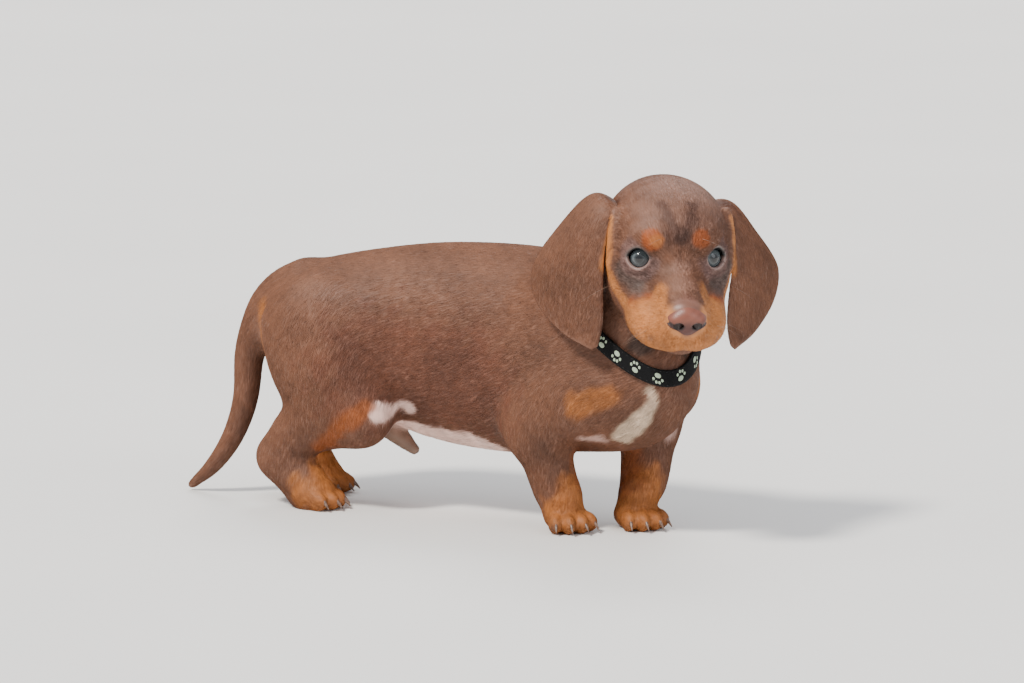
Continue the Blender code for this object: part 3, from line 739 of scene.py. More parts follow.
def solid_from(name, points, faces):
    mesh = bpy.data.meshes.new(name)
    mesh.from_pydata([tuple(point) for point in points], [], faces)
    shape = bmesh.new()
    shape.from_mesh(mesh)
    bmesh.ops.recalc_face_normals(shape, faces=shape.faces)
    shape.to_mesh(mesh)
    shape.free()
    return add_object(name, mesh)


def loft(name, rings):
    """A closed body through rings of equally many points, capped at both ends."""
    rings = np.asarray(rings, float)
    count, around = rings.shape[:2]
    faces = []
    for i in range(count - 1):
        for j in range(around):
            k = (j + 1) % around
            faces.append((i * around + j, i * around + k, (i + 1) * around + k, (i + 1) * around + j))
    points = np.vstack([rings.reshape(-1, 3), rings[0].mean(0), rings[-1].mean(0)])
    for cap, start in ((count * around, 0), (count * around + 1, (count - 1) * around)):
        faces += [(cap, start + j, start + (j + 1) % around) for j in range(around)]
    return solid_from(name, points, faces)


def join(objects):
    """Joins meshes into the first of them."""
    bpy.ops.object.select_all(action="DESELECT")
    for obj in objects:
        obj.select_set(True)
    bpy.context.view_layer.objects.active = objects[0]
    bpy.ops.object.join()
    return objects[0]


def refine(obj, middle, radius):
    """Divides the faces near a place into four."""
    shape = bmesh.new()
    shape.from_mesh(obj.data)
    middle = Vector(middle)
    edges = [e for e in shape.edges if all((v.co - middle).length < radius for v in e.verts)]
    bmesh.ops.subdivide_edges(shape, edges=edges, cuts=1, use_grid_fill=True)
    shape.to_mesh(obj.data)
    shape.free()


def normalised(vectors):
    return vectors / (np.linalg.norm(vectors, axis=1)[:, None] + 1e-9)


def points_of(mesh):
    place = np.empty(len(mesh.vertices) * 3)
    mesh.vertices.foreach_get("co", place)
    return place.reshape(-1, 3)


# %% Build the skin
def pocket_tool(frame):
    """A closed body that opens the lids for one eye."""
    rings = []
    for reach, share in ((-5.0, 0.5), (0.0, 1.1), (4.0, 1.1), (7.5, 0.95), (16.0, 1.15)):
        turns = np.arange(24) * math.tau / 24
        wide, high = LID_WIDTH / 2 * share, LID_HEIGHT / 2 * share
        rings.append([frame(reach, math.cos(t) * wide, LID_RISE + math.sin(t) * high) for t in turns])
    return loft("pocket", rings)


def ear_flap(side):
    """The ear with its root in the skull: a fine closed flap with rounded edges."""
    places = FLAPS[side].places
    down, over = np.gradient(places, axis=0), np.gradient(places, axis=1)
    normal = normalised(np.cross(down, over).reshape(-1, 3)).reshape(places.shape)
    across = np.abs(np.linspace(-1, 1, EAR_COLUMNS))
    along = np.linspace(0, 1, EAR_ROWS)
    edge = np.sqrt(1 - 0.97 * across**10)
    end = np.sqrt(1 - 0.97 * along**24)
    half = EAR_HALF * edge[None, :] * end[:, None]
    outer, inner = places + normal * half[:, :, None], places - normal * half[:, :, None]
    return loft("ear", [np.vstack([a, b[::-1]]) for a, b in zip(outer, inner)])


FIRST_VOXEL, SKIN_VOXEL = 2.6, (1.75)
skin = add_object("skin", lumps_mesh(FORMS))
remesh(skin, FIRST_VOXEL)
relax(skin.data, 3)
settle(skin.data, lambda p: np.maximum(forms_distance(p, FORMS) + COAT_DEPTH, SOLE_HEIGHT - p[:, 2]), 3)
for frame_of_eye in EYES.values():
    tool = pocket_tool(frame_of_eye)
    cut = skin.modifiers.new("lids", "BOOLEAN")
    cut.operation = "DIFFERENCE"
    cut.solver = "MANIFOLD"
    cut.object = tool
    bake(skin)
    bpy.data.objects.remove(tool)
remesh(skin, SKIN_VOXEL)
relax(skin.data, 1)
settle(skin.data, skin_distance, 2)
for frame_of_eye in EYES.values():
    refine(skin, frame_of_eye(7, 0, 0), 15)
    refine(skin, frame_of_eye(8, 0, 0), 11)
refine(skin, HEAD(66, 0, -36), 27)
relax(skin.data, 1)
settle(skin.data, skin_distance, 2)
skin = join([skin, ear_flap(1), ear_flap(-1)])
print("skin:", len(skin.data.vertices), "vertices")

# %% [markdown]
# ## Colours and markings
# The coat is chocolate with tan points. An image could be painted for it, but marks that are placed
# in the head's and chest's own axes stay with the form. A mark is coloured hair along a line or round
# a place, and later marks lie over earlier ones. Slow waves make every edge uneven, as hair does.
# A few marks are painted light instead: painted shade in the creases of the forehead, behind each
# ear's fold, under the jaw and in the mouth's parting, and painted sheen on the top of the skull, a
# brow ridge and the bridge of the nose.

# %% Colours and markings
def linear(code):
    """A hex colour as linear red, green and blue."""
    value = np.array([int(code[i : i + 2], 16) for i in (1, 3, 5)]) / 255
    return np.where(value <= 0.04045, value / 12.92, ((value + 0.055) / 1.055) ** 2.4)


CHOCOLATE = "#714a36"
RED_BROWN = "#683a28"
# Painted shade for the creases of the forehead and the hollows behind the ears' folds.
PAINTED_SHADE = "#4a2d22"
# Painted sheen: a lighter brown where light catches the top of the skull, a brow ridge and the bridge of the
# nose.
PAINTED_SHEEN = "#86604f"
TAN = "#a4632f"
DEEP_TAN = "#8a4a22"
FACE_TAN = "#b8743d"
RUST = "#954a1c"
CREAM = "#e0c4a8"
GREY = "#56433b"
MAUVE = "#74564e"
# Painted shade under the jaw; along the mouth it is also the lips' dark edge.
LIP_EDGE_AND_JAW_SHADE = "#3f2a20"
BELLY = "#e6bfb1"
SHEATH = "#806656"
NOSE_BORDER = "#7b5142"


def waves(p, size, seed):
    """A smooth uneven value from about -1 to 1, in lumps about so many millimetres across."""
    random = np.random.default_rng(seed)
    value = np.zeros(len(p))
    for _ in range(7):
        pull = unit(random.normal(size=3)) * math.tau / (size * random.uniform(1.2, 2.6))
        value += np.sin(p @ pull + random.uniform(0, math.tau))
    return value / 2.6


def smooth_step(value):
    value = np.clip(value, 0, 1)
    return value * value * (3 - 2 * value)


class Mark:
    """Coloured hair, or painted shade or sheen, within a width of a line, fading over a share of that width.
    """

    def __init__(self, colour, width, points, soft=0.5, share=1.0):
        self.colour = linear(colour)
        self.width, self.soft, self.share = width, soft, share
        self.line = Stroke(points, width, 1.0)

    def cover(self, p):
        low, high = self.line.box()
        near = ((p > low) & (p < high)).all(1)
        cover = np.zeros(len(p))
        far = self.line.distance(p[near]) / self.width
        cover[near] = self.share * smooth_step((1 - far) / self.soft + 0.5 + 0.25 * waves(p[near], 5.0, 3))
        return cover


def in_head(*points):
    return [HEAD(*point) for point in points]


def in_chest(*points):
    return [CHEST(*point) for point in points]


def body_marks():
    marks = [
        Mark(RED_BROWN, 34, [(-10, -46, 84), (-70, -44, 86)], 0.9, 0.6),
        Mark(BELLY, 21, [(-14, -15, 36), (-44, -16, 38), (-80, -14, 42)], 0.25),
        Mark(BELLY, 6.4, [(-50, -39, 63), (-65, -46, 63)], 0.35),
        Mark(SHEATH, 9, [(-86, 0, 44), (-66, 0, 33)], 0.5),
        Mark(TAN, 5.5, [(-147, -30, 118), (-143, -34, 100), (-140, -38, 84)], 0.9, 0.8),
        Mark(DEEP_TAN, 5.5, [(-70, -52, 66), (-86, -53, 54), (-106, -45, 37)], 0.8),
        Mark(CREAM, 6, in_chest((43, -19, -28), (36, -21, -34), (29, -21, -39)), 0.7, 0.95),
        Mark(CREAM, 3.0, in_chest((52, -17.8, -8.7), (52.4, -16, -16), (46, -19, -24)), 0.9, 0.8),
    ]
    for side in (1, -1):
        shoulder = in_chest((16, 45 * side, -21), (26, 41 * side, -16), (34, 34 * side, -13))
        marks.append(Mark(TAN, 7, shoulder, 0.9, 0.85))
        marks.append(Mark(BELLY, 5, in_chest((8, 30 * side, -43), (16, 27 * side, -42)), 0.9, 0.55))
    for name, (joint, ankle, paw_at, toes) in FEET.items():
        ahead = heading(toes)
        ankle, paw_at = np.array(ankle), np.array(paw_at)
        inner = heading(toes + (-90 if name.endswith("left") else 90))
        marks.append(Mark(TAN, 15, [paw_at + (0, 0, 2) + ahead * 2, paw_at + ahead * 15], 0.5))
        marks.append(Mark(TAN, 11, [ankle + ahead * 12 + inner * 6, paw_at + ahead * 8 + inner * 4], 0.7))
        inside = [np.array(joint) + inner * 14 + ahead * 6, ankle + inner * 10 + ahead * 5]
        marks.append(Mark(DEEP_TAN, 9, inside, 0.8, 0.8))
    return marks


def head_marks():
    marks = [
        # Painted sheen on the top of the skull and on the ridge in the middle of the forehead, and painted
        # shade in the creases up the forehead and between the brows.
        Mark(PAINTED_SHEEN, 17, in_head((22, -12, 24), (4, 0, 31), (20, 12, 24)), 0.9, 0.7),
        Mark(PAINTED_SHADE, 4.2, in_head((23, -9, 26), (33, -6.5, 20), (39, -3, 11)), 1.3, 0.7),
        Mark(PAINTED_SHADE, 4.0, in_head((23, 9, 26), (34, 5.2, 18), (39, 1.6, 11)), 1.3, 0.7),
        Mark(PAINTED_SHEEN, 2.6, in_head((22, 0.6, 26), (33, 0.4, 20)), 1.1, 0.6),
        Mark(PAINTED_SHADE, 7, in_head((41, -0.5, 8), (43, 0.5, 2)), 1.2, 0.4),
    ]
    for side in (1, -1):
        cheek = in_head(
            (13, 36.8 * side, -11), (19.7, 35.6 * side, -19), (27.3, 32.4 * side, -26),
            (38, 29 * side, -30), (46, 26 * side, -30),
        )
        ear_strip = in_head((9, 36.5 * side, 11), (14.5, 37.5 * side, 0), (18, 36.5 * side, -12))
        ear_edge = [ear_surface(side, t, 0.1) for t in (0.1, 0.2, 0.3, 0.4, 0.5, 0.6)]
        muzzle = in_head((66, 11 * side, -28), (58, 18 * side, -30), (50, 22 * side, -36))
        lips = in_head((70, 5 * side, -38), (60, 14 * side, -41), (46, 20 * side, -41))
        chin = in_head((60, 6 * side, -59), (34, 12 * side, -62), (16, 14 * side, -61))
        under_eye = in_head((36, 23 * side, -15), (31, 28.5 * side, -14.5), (27, 31.5 * side, -13))
        marks += [
            Mark(FACE_TAN, 3.0, ear_strip, 0.6),
            # Painted shade in the hollow behind the fold at the ear's root.
            Mark(PAINTED_SHADE, 6.0, in_head((-7, 32 * side, 12), (-3, 35 * side, 8)), 0.8, 0.9),
            Mark(FACE_TAN, 4.2, cheek, 0.7),
            Mark(CHOCOLATE, 3.0, ear_edge, 0.3),
            Mark(RUST, 6.5, in_head((45, 23 * side, -26), (50, 21 * side, -24)), 0.9, 0.9),
            Mark(FACE_TAN, 11.5, muzzle, 0.45),
            Mark(FACE_TAN, 5.5, in_head((60, 14 * side, -22), (53, 13.5 * side, -15)), 0.9, 0.9),
            Mark(FACE_TAN, 8.5, lips, 0.5),
            # Painted shade under the jaw.
            Mark(LIP_EDGE_AND_JAW_SHADE, 8, chin, 0.6),
            Mark(GREY, 6.0, under_eye, 0.9, 0.85),
            Mark(GREY, 5.0, in_head((41, 23 * side, -19), (35, 26.5 * side, -18)), 0.9, 0.8),
            Mark(MAUVE, 4.6, in_head((39.5, 15 * side, -3.5), (38.5, 18 * side, -9)), 0.9, 0.85),
            Mark(MAUVE, 3.4, ring_on_eye(side, 1.4, 8.2), 0.9, 0.85),
            # The lips' dark edge, with painted shade in the mouth's parting.
            Mark(LIP_EDGE_AND_JAW_SHADE, 1.3, in_head(*[(x, y * side, z) for x, y, z in MOUTH]), 0.8),
        ]
    marks += [
        Mark(CHOCOLATE, 8.5, in_head((44, 0, -1), (56, 0, -6), (64, 0, -10), (68, 0, -13)), 0.6),
        # Painted sheen along the bridge of the nose.
        Mark(PAINTED_SHEEN, 5.5, in_head((46, 0, -4), (58, 0.2, -9)), 1.1, 0.85),
        Mark(NOSE_BORDER, 7.0, in_head((70, 0, -15)), 0.9, 0.8),
        Mark(RUST, 5.4, in_head((36.5, -17.6, 11.4), (37, -16.4, 8.0)), 0.45),
        Mark(RUST, 4.5, in_head((37, 11.8, 11.8), (37.5, 12.2, 9.4)), 0.45),
        Mark(TAN, 3.4, in_head((38, -14.5, 9)), 0.8, 0.8),
    ]
    return marks


MARKS = body_marks() + head_marks()


def coat_colour(p):
    """The coat's colour at each place, with its painted shade and sheen, in linear red, green and blue."""
    colour = np.tile(linear(CHOCOLATE), (len(p), 1))
    for mark in MARKS:
        cover = mark.cover(p)[:, None]
        colour += (mark.colour - colour) * cover
    mottle = 1 + 0.10 * waves(p, 16.0, 11) + 0.08 * waves(p, 4.0, 12)
    return colour * mottle[:, None]


def bareness(p):
    """How bare of hair the skin is, from 0 to 1: at the lids, the lips, the nose's edge and the belly."""
    bare = np.zeros(len(p))
    for frame_of_eye in EYES.values():
        share, q = lid_share(frame_of_eye, p)
        at_eye = (q[:, 0] > 2) & (np.linalg.norm(q, axis=1) < 20)
        bare = np.maximum(bare, at_eye * smooth_step((1.34 - share) / 0.2))
    for mark in MARKS:
        if (mark.colour == linear(BELLY)).all():
            bare = np.maximum(bare, 0.85 * mark.cover(p))
    from_nose = np.linalg.norm((p - HEAD(71, 0, -24)) @ HEAD.axes / (11, 11.5, 10.5), axis=1)
    return np.maximum(bare, smooth_step((1.12 - from_nose) / 0.15))


# %% [markdown]
# ## The lie and length of the hair
# Hair runs from the nose back over the head, down the ears and the neck, back and down along the
# trunk, down the legs and out along the tail. Where two regions meet, it turns smoothly.

# %% The lie and length of the hair
TAIL = tail()[0][0]


def regions_of_hair(p):
    """For each region: how far each point is from it, which way its hair points, and its hair's length."""
    turn = np.radians(PELVIS_HEADING + (CHEST_HEADING - PELVIS_HEADING) * smooth_step((p[:, 0] + 115) / 190))
    backwards = np.column_stack([-np.cos(turn), -np.sin(turn), np.full(len(p), -0.4)])
    yield forms_distance(p, trunk() + shoulders()), backwards, 4.4
    yield forms_distance(p, neck()), np.tile([-0.55, 0.42, -0.72], (len(p), 1)), 4.0
    from_nose = p - HEAD(84, 0, -12)
    yield forms_distance(p, head()), from_nose, 1.7 + 0.015 * np.linalg.norm(from_nose, axis=1)
    nearest = np.argmin(((p[:, None, :] - TAIL.points[None, 1::3, :]) ** 2).sum(2), axis=1)
    yield forms_distance(p, tail()), np.diff(TAIL.points, axis=0)[1::3][nearest.clip(0, 9)], 4.2
    for name, (joint, ankle, paw_at, toes) in FEET.items():
        side = 1 if name.endswith("left") else -1
        build = foreleg if name.startswith("front") else hindleg
        on_paw = smooth_step((17 - p[:, 2]) / 9)[:, None]
        way = np.array([-0.25, 0, -1.0]) * (1 - on_paw) + (heading(toes) - (0, 0, 0.45)) * on_paw
        yield forms_distance(p, build(joint, ankle, paw_at, toes, side)), way, 3.6 - 1.7 * on_paw[:, 0]
    for side, flap in FLAPS.items():
        far, along = flap.measure(p)
        down = np.tile(HEAD.direction(0.25, 0.35 * side, -1), (len(p), 1))
        yield far - EAR_HALF - 6 * smooth_step((along - 0.05) / 0.2), down, 3.3


def hair_lie(p, normal):
    """The way the hair points along the skin at each place, and how long it is."""
    way, length, total = np.zeros((len(p), 3)), np.zeros(len(p)), np.full(len(p), 1e-12)
    for far, direction, long in regions_of_hair(p):
        weight = np.exp(-np.clip(far, -6, 60) / 3.5)
        way += weight[:, None] * direction / (np.linalg.norm(direction, axis=1)[:, None] + 1e-9)
        length += weight * long
        total += weight
    way /= total[:, None]
    way -= normal * (way * normal).sum(1)[:, None]
    size = np.linalg.norm(way, axis=1)[:, None]
    spare = np.cross(normal, (0.0, 1.0, 0.0))
    return np.where(size > 0.03, way / (size + 1e-9), spare), length / total


# %% Colour the skin
def normals_of(mesh):
    normal = np.empty(len(mesh.vertices) * 3)
    mesh.vertices.foreach_get("normal", normal)
    return normal.reshape(-1, 3)


def store_colour(mesh, name, colour):
    """Keeps a colour at every vertex, for the materials to read."""
    layer = mesh.color_attributes.new(name, "FLOAT_COLOR", "POINT")
    rgba = np.column_stack([colour, np.ones(len(colour))])
    layer.data.foreach_set("color", rgba.astype(np.float32).ravel())


def store_value(mesh, name, value):
    layer = mesh.attributes.new(name, "FLOAT", "POINT")
    layer.data.foreach_set("value", value.astype(np.float32))


def store_vector(mesh, name, vector):
    layer = mesh.attributes.new(name, "FLOAT_VECTOR", "POINT")
    layer.data.foreach_set("vector", vector.astype(np.float32).ravel())


UPPER_LID = "#55433d"
LOWER_LID = "#74544b"
LOWER_RIM = "#8f746c"
# The lash line, darkened further with painted shade from the upper lid.
LASH_LINE_AND_SHADE = "#0d0908"
LID_PAINTS = [(1.45, 0.3, UPPER_LID, LOWER_LID), (1.13, 0.08, LASH_LINE_AND_SHADE, LOWER_RIM)]


def lid_colour(p, colour):
    """Paints the lids: a black line and dark skin above the eye, a dull pink rim and skin below it. The black
    line is the lash line with painted shade from the upper lid.
    """
    for frame_of_eye in EYES.values():
        share, q = lid_share(frame_of_eye, p)
        at_eye = (q[:, 0] > 3) & (np.linalg.norm(q, axis=1) < 16)
        above = smooth_step(0.35 + q[:, 2] / 3.0)[:, None]
        for outer, width, upper, lower in LID_PAINTS:
            paint = linear(lower) + (linear(upper) - linear(lower)) * above
            cover = at_eye * smooth_step((outer - share) / width)
            colour = colour + (paint - colour) * cover[:, None]
    return colour


skin_points = points_of(skin.data)
skin_normals = normals_of(skin.data)
skin_lie, skin_length = hair_lie(skin_points, skin_normals)
skin_bare = bareness(skin_points)
skin_colour = lid_colour(skin_points, coat_colour(skin_points))
store_colour(skin.data, "coat", skin_colour)
store_value(skin.data, "bare", skin_bare)
store_vector(skin.data, "lie", skin_lie)
print("hair from", round(skin_length.min(), 1), "to", round(skin_length.max(), 1), "mm long")

# %% [markdown]
# ## The coat
# A smooth-haired coat is short and dense and lies flat. Particle hair can't leave Blender as a mesh,
# so each tuft is a thin closed sliver: a small three-sided root in the skin and a point just over it.
# Tufts are spread evenly, more of them where they are short, and their points are brought back to the
# skin so that they follow every curve. Each is lit as the skin under it is, which keeps the coat smooth.

# %% The coat
TUFTS = 340000
PIECE_TUFTS = 45000
TUFT_WIDTH = 0.12


def spread(count):
    """Roots for so many tufts: their triangles on the skin and the places within them."""
    skin.data.calc_loop_triangles()
    corners = np.empty(len(skin.data.loop_triangles) * 3, int)
    skin.data.loop_triangles.foreach_get("vertices", corners)
    corners = corners.reshape(-1, 3)
    a, b, c = (skin_points[corners[:, k]] for k in range(3))
    area = np.linalg.norm(np.cross(b - a, c - a), axis=1) / 2
    length, bare = skin_length[corners].mean(1), skin_bare[corners].mean(1)
    above_floor = a[:, 2] > SOLE_HEIGHT + 0.6
    weight = area * (1 - bare) * above_floor / length**1.15
    chosen = rng.choice(len(corners), count, p=weight / weight.sum())
    share = rng.random((count, 2))
    share = np.where(share.sum(1)[:, None] > 1, 1 - share, share)
    return corners[chosen], np.column_stack([1 - share.sum(1), share])


def between(values, corners, share):
    """A skin's value at places within its triangles."""
    return (values[corners] * share.reshape(share.shape + (1,) * (values.ndim - 1))).sum(1)


def make_tufts(count):
    """The corners and colours of all tufts, four corners each, then their roots and the ways they face."""
    corners, share = spread(count)
    root = between(skin_points, corners, share)
    normal = normalised(between(skin_normals, corners, share))
    way = normalised(between(skin_lie, corners, share))
    length = between(skin_length, corners, share) * rng.uniform(0.65, 1.2, count)
    colour = between(skin_colour, corners, share)
    side = np.cross(normal, way)
    way = normalised(way + side * rng.normal(0, 0.09, count)[:, None])
    side = np.cross(normal, way)
    point = root + way * length[:, None]
    lift = rng.uniform(0.08, 0.34, count)
    for i in range(count):
        place, outward, _, _ = skin_tree.find_nearest(point[i])
        point[i] = place + outward * lift[i]
    half = (TUFT_WIDTH * length**0.55 * rng.uniform(0.6, 1.3, count))[:, None] / 2
    heart = root - normal * 0.12
    crest = heart + normal * (0.18 + half)
    places = np.stack([heart - side * half, heart + side * half, crest, point], axis=1)
    shade = rng.normal(1, 0.11, count)[:, None].clip(0.7, 1.4)
    tints = np.stack([colour * shade * light for light in (0.86, 0.86, 0.95, 1.08)], axis=1)
    return places, tints, root, normalised(normal + side * rng.normal(0, 0.24, count)[:, None])


skin_tree = BVHTree.FromPolygons(
    [tuple(p) for p in skin_points], [tuple(face.vertices) for face in skin.data.polygons]
)
tuft_places, tuft_colours, tuft_roots, tuft_facing = make_tufts(TUFTS)
print("tufts:", len(tuft_places))

# %% [markdown]
# Each tuft needs its own small patch in the map that a painter of the coat would use. The patch lies
# at its root's place on an unwrap of the skin.

# %% Unwrap the skin and place each tuft on it
PATCH = 0.003


def unwrapped_skin():
    """A coarse copy of the skin, unwrapped: its tree, its triangles' corners and their places on the map."""
    coarse = add_object("coarse", skin.data.copy())
    change = coarse.modifiers.new("thin", "DECIMATE")
    change.ratio = min(1.0, 16000 / len(coarse.data.polygons))
    coarse.modifiers.new("triangles", "TRIANGULATE")
    bake(coarse)
    bpy.ops.object.select_all(action="DESELECT")
    coarse.select_set(True)
    bpy.context.view_layer.objects.active = coarse
    bpy.ops.object.mode_set(mode="EDIT")
    bpy.ops.mesh.select_all(action="SELECT")
    bpy.ops.uv.smart_project(angle_limit=math.radians(66), island_margin=0.004)
    bpy.ops.object.mode_set(mode="OBJECT")
    mesh = coarse.data
    places = points_of(mesh)
    faces = [tuple(face.vertices) for face in mesh.polygons]
    flat = np.empty(len(mesh.loops) * 2)
    mesh.uv_layers.active.uv.foreach_get("vector", flat)
    tree = BVHTree.FromPolygons([tuple(p) for p in places], faces)
    bpy.data.objects.remove(coarse)
    return tree, places[np.array(faces)], flat.reshape(-1, 3, 2)


def map_places(roots):
    """Where each root is on the unwrapped skin."""
    tree, corners, flat = unwrapped_skin()
    found = np.array([tree.find_nearest(root)[2] for root in roots])
    a, b, c = (corners[found, k] for k in range(3))
    normal = np.cross(b - a, c - a)
    size = (normal**2).sum(1) + 1e-12
    v = (np.cross(roots - a, c - a) * normal).sum(1) / size
    w = (np.cross(b - a, roots - a) * normal).sum(1) / size
    share = np.clip(np.column_stack([1 - v - w, v, w]), 0, 1)
    share /= share.sum(1)[:, None]
    return (flat[found] * share[:, :, None]).sum(1)


tuft_map = map_places(tuft_roots)
print("map from", tuft_map.min(0).round(2), "to", tuft_map.max(0).round(2))

# %% Make the coat's pieces
TUFT_FACES = np.array([(0, 1, 3), (1, 2, 3), (2, 0, 3), (0, 2, 1)])
PATCH_CORNERS = np.array([(0, 0), (1, 0), (0.5, 0.5), (0.5, 1)]) * PATCH


def coat_piece(name, places, colours, facing, where):
    """One mesh of tufts, lit as the skin under them is, with their colours and patches on the map."""
    count = len(places)
    faces = (TUFT_FACES[None] + 4 * np.arange(count)[:, None, None]).reshape(-1, 3)
    mesh = bpy.data.meshes.new(name)
    mesh.vertices.add(4 * count)
    mesh.vertices.foreach_set("co", to_frame(places.reshape(-1, 3)).astype(np.float32).ravel())
    mesh.loops.add(len(faces) * 3)
    mesh.loops.foreach_set("vertex_index", faces.ravel().astype(np.int32))
    mesh.polygons.add(len(faces))
    mesh.polygons.foreach_set("loop_start", np.arange(0, len(faces) * 3, 3, dtype=np.int32))
    mesh.polygons.foreach_set("loop_total", np.full(len(faces), 3, dtype=np.int32))
    mesh.update(calc_edges=True)
    mesh.polygons.foreach_set("use_smooth", [True] * len(faces))
    mesh.normals_split_custom_set_from_vertices(np.repeat(facing, 4, axis=0).tolist())
    store_colour(mesh, "coat", colours.reshape(-1, 3))
    corner = np.clip(where, 0, 1 - PATCH)[:, None, :] + PATCH_CORNERS[None]
    flat = corner.reshape(-1, 2)[faces.ravel()]
    mesh.uv_layers.new(name="OFBake").uv.foreach_set("vector", flat.astype(np.float32).ravel())
    return add_object(name, mesh)


order = np.argsort(tuft_roots[:, 0])
chunks = np.array_split(order, max(1, math.ceil(TUFTS / PIECE_TUFTS)))
coat = [
    coat_piece(f"coat_{k + 1}", tuft_places[chunk], tuft_colours[chunk], tuft_facing[chunk], tuft_map[chunk])
    for k, chunk in enumerate(chunks)
]
print("coat pieces:", len(coat))

# %% [markdown]
# ## Eyes
# A puppy's eyes are still blue-grey. An eyeball is a sphere with the bulge of the cornea in front.
# Each point keeps its place across the iris, in millimetres, which the material turns into pupil,
# iris, dark ring and white, so no image is needed.

# %% Eyes
EYE_ROUND, EYE_RINGS = 56, 40


def eyeball(side):
    axes = EYES[side]
    rings = []
    for k in range(1, EYE_RINGS):
        turn = math.pi * k / EYE_RINGS
        bulge = 0.6 * math.exp(-((turn / 0.5) ** 2))
        forward, radius = (EYE_RADIUS + bulge) * math.cos(turn), EYE_RADIUS * math.sin(turn)
        spin = np.arange(EYE_ROUND) * math.tau / EYE_ROUND
        rings.append([axes(forward, radius * math.cos(s), radius * math.sin(s)) for s in spin])
    obj = loft("eyeball_" + ("left" if side > 0 else "right"), rings)
    q = (points_of(obj.data) - axes.origin) @ axes.axes
    store_vector(obj.data, "iris", np.column_stack([q[:, 1] - IRIS_LOOK[side], q[:, 2], q[:, 0]]))
    return obj


IRIS_LOOK = {1: -0.3, -1: 0.6}
eyeballs = {side: eyeball(side) for side in (1, -1)}
print("eyes:", [obj.name for obj in eyeballs.values()])

# %% [markdown]
# ## Nose
# The nose's leather is a rounded pad with two wings. Each nostril is a pit that runs out into a slit
# at the side, and a groove between the two goes down to the lip. It is blended from masses as the
# body is, but as a piece of its own, since its surface is bare and damp.

# %% Nose
def nostril_slit(side):
    """The slit from the nostril out over the wing, in the head's axes."""
    return [
        (78, 6 * side, -27.2), (76.2, 9.0 * side, -26.6),
        (72.5, 11.6 * side, -25.0), (70, 12.4 * side, -23.5),
    ]


NOSE_FORMS = [
    (Ball(HEAD(68, 0, -23), (9.4, 9.2, 7.6), HEAD.axes), 0),
    (Ball(HEAD(70.6, 6.2, -25.5), (6.3, 5.6, 4.9), HEAD.axes), 4),
    (Ball(HEAD(70.6, -6.2, -25.5), (6.3, 5.6, 4.9), HEAD.axes), 4),
    (Ball(HEAD(70, 0, -30), (6.4, 6.2, 4.6), HEAD.axes), 4),
]


def nose_distance(p):
    total = np.full(len(p), 1e3)
    for form, blend in NOSE_FORMS:
        total = smooth_min(total, form.distance(p), blend)
    for side in (1, -1):
        pit = Ball(HEAD(77.5, 5.4 * side, -26.6), (5.5, 2.9, 1.9), HEAD.axes)
        slit = Stroke(in_head(*nostril_slit(side)), 1.0, 1.0)
        total = -smooth_min(-total, pit.distance(p), 1.0)
        total = -smooth_min(-total, slit.distance(p) - 1.0, 0.8)
    groove = Stroke(in_head((79, 0.4, -22), (79, 0.4, -28), (77, 0.4, -35)), 0.8, -0.7)
    return total - groove.lift(p)


nose = add_object("nose_leather", lumps_mesh(NOSE_FORMS))
remesh(nose, 0.5)
settle(nose.data, nose_distance, 3, 1.0)
relax(nose.data, 1)
settle(nose.data, nose_distance, 2, 1.0)

NOSE_PINK = "#784434"
NOSE_RED = "#4c251e"
NOSTRIL_SHADE = "#231010"


def nose_colour(p):
    """Liver brown on top and darker below the nostrils, with painted shade, nearly black, in the nostrils'
    pits and slits.
    """
    q = (p - HEAD.origin) @ HEAD.axes
    low = smooth_step((-22.0 - q[:, 2]) / 6)[:, None]
    colour = linear(NOSE_PINK) + (linear(NOSE_RED) - linear(NOSE_PINK)) * low
    for side in (1, -1):
        near = np.linalg.norm((q - (76, 5.4 * side, -26.9)) / (6, 3.6, 2.8), axis=1)
        slit = Stroke(nostril_slit(side), 1.0, 1.0)
        in_pit = smooth_step((1.15 - near) / 0.45)
        in_slit = smooth_step((1.9 - slit.distance(q)) / 1.2)
        # Painted shade in the nostrils' pits and slits.
        colour = colour + (linear(NOSTRIL_SHADE) * 0.5 - colour) * np.maximum(in_pit, in_slit)[:, None]
    return colour * (1 + 0.08 * waves(p, 3.0, 21))[:, None]


store_colour(nose.data, "coat", nose_colour(points_of(nose.data)))
print("nose:", len(nose.data.vertices), "vertices")

# %% [markdown]
# ## Claws
# Every toe has a short dark claw that curves down, deeper than it is wide. One function makes them
# all as rings along a curved line, with the root sunk in the toe.

# %% Claws
CLAW_LENGTH = 6.6
CLAW_RADIUS = 1.9


def claw(name, root, aim, length, radius):
    aim, down = unit(aim), np.array([0, 0, -1.0])
    across = unit(np.cross(aim, down))
    up = np.cross(across, aim)
    rings = []
    for t in np.linspace(0, 1, 12):
        centre = np.array(root) + aim * length * t + down * 0.5 * length * t**2
        size = radius * (1 - 0.8 * t**1.4)
        spin = np.arange(14) * math.tau / 14
        rings.append([centre + size * (0.72 * math.cos(s) * across + math.sin(s) * up) for s in spin])
    return loft(name, rings)


claws = {}
for name, (_, _, paw_at, toes) in FEET.items():
    size = 1.0 if name.startswith("front") else 0.94
    for toe in range(len(TOES)):
        axes = toe_frame(paw_at, toes, size, toe)
        node = f"claw_{name}_{toe + 1}"
        root, aim = axes(5 * size, 0, 1.2), axes.direction(1, 0, -0.25)
        claws[node] = claw("horn_" + node[5:], root, aim, CLAW_LENGTH * size, CLAW_RADIUS)
print("claws:", len(claws))

# %% [markdown]
# ## Collar
# A woven strap lies on the neck. Its edges are rounded, a row of stitches runs along each of them,
# and small pale prints of a paw, a pad with four toes, are pressed on its face.

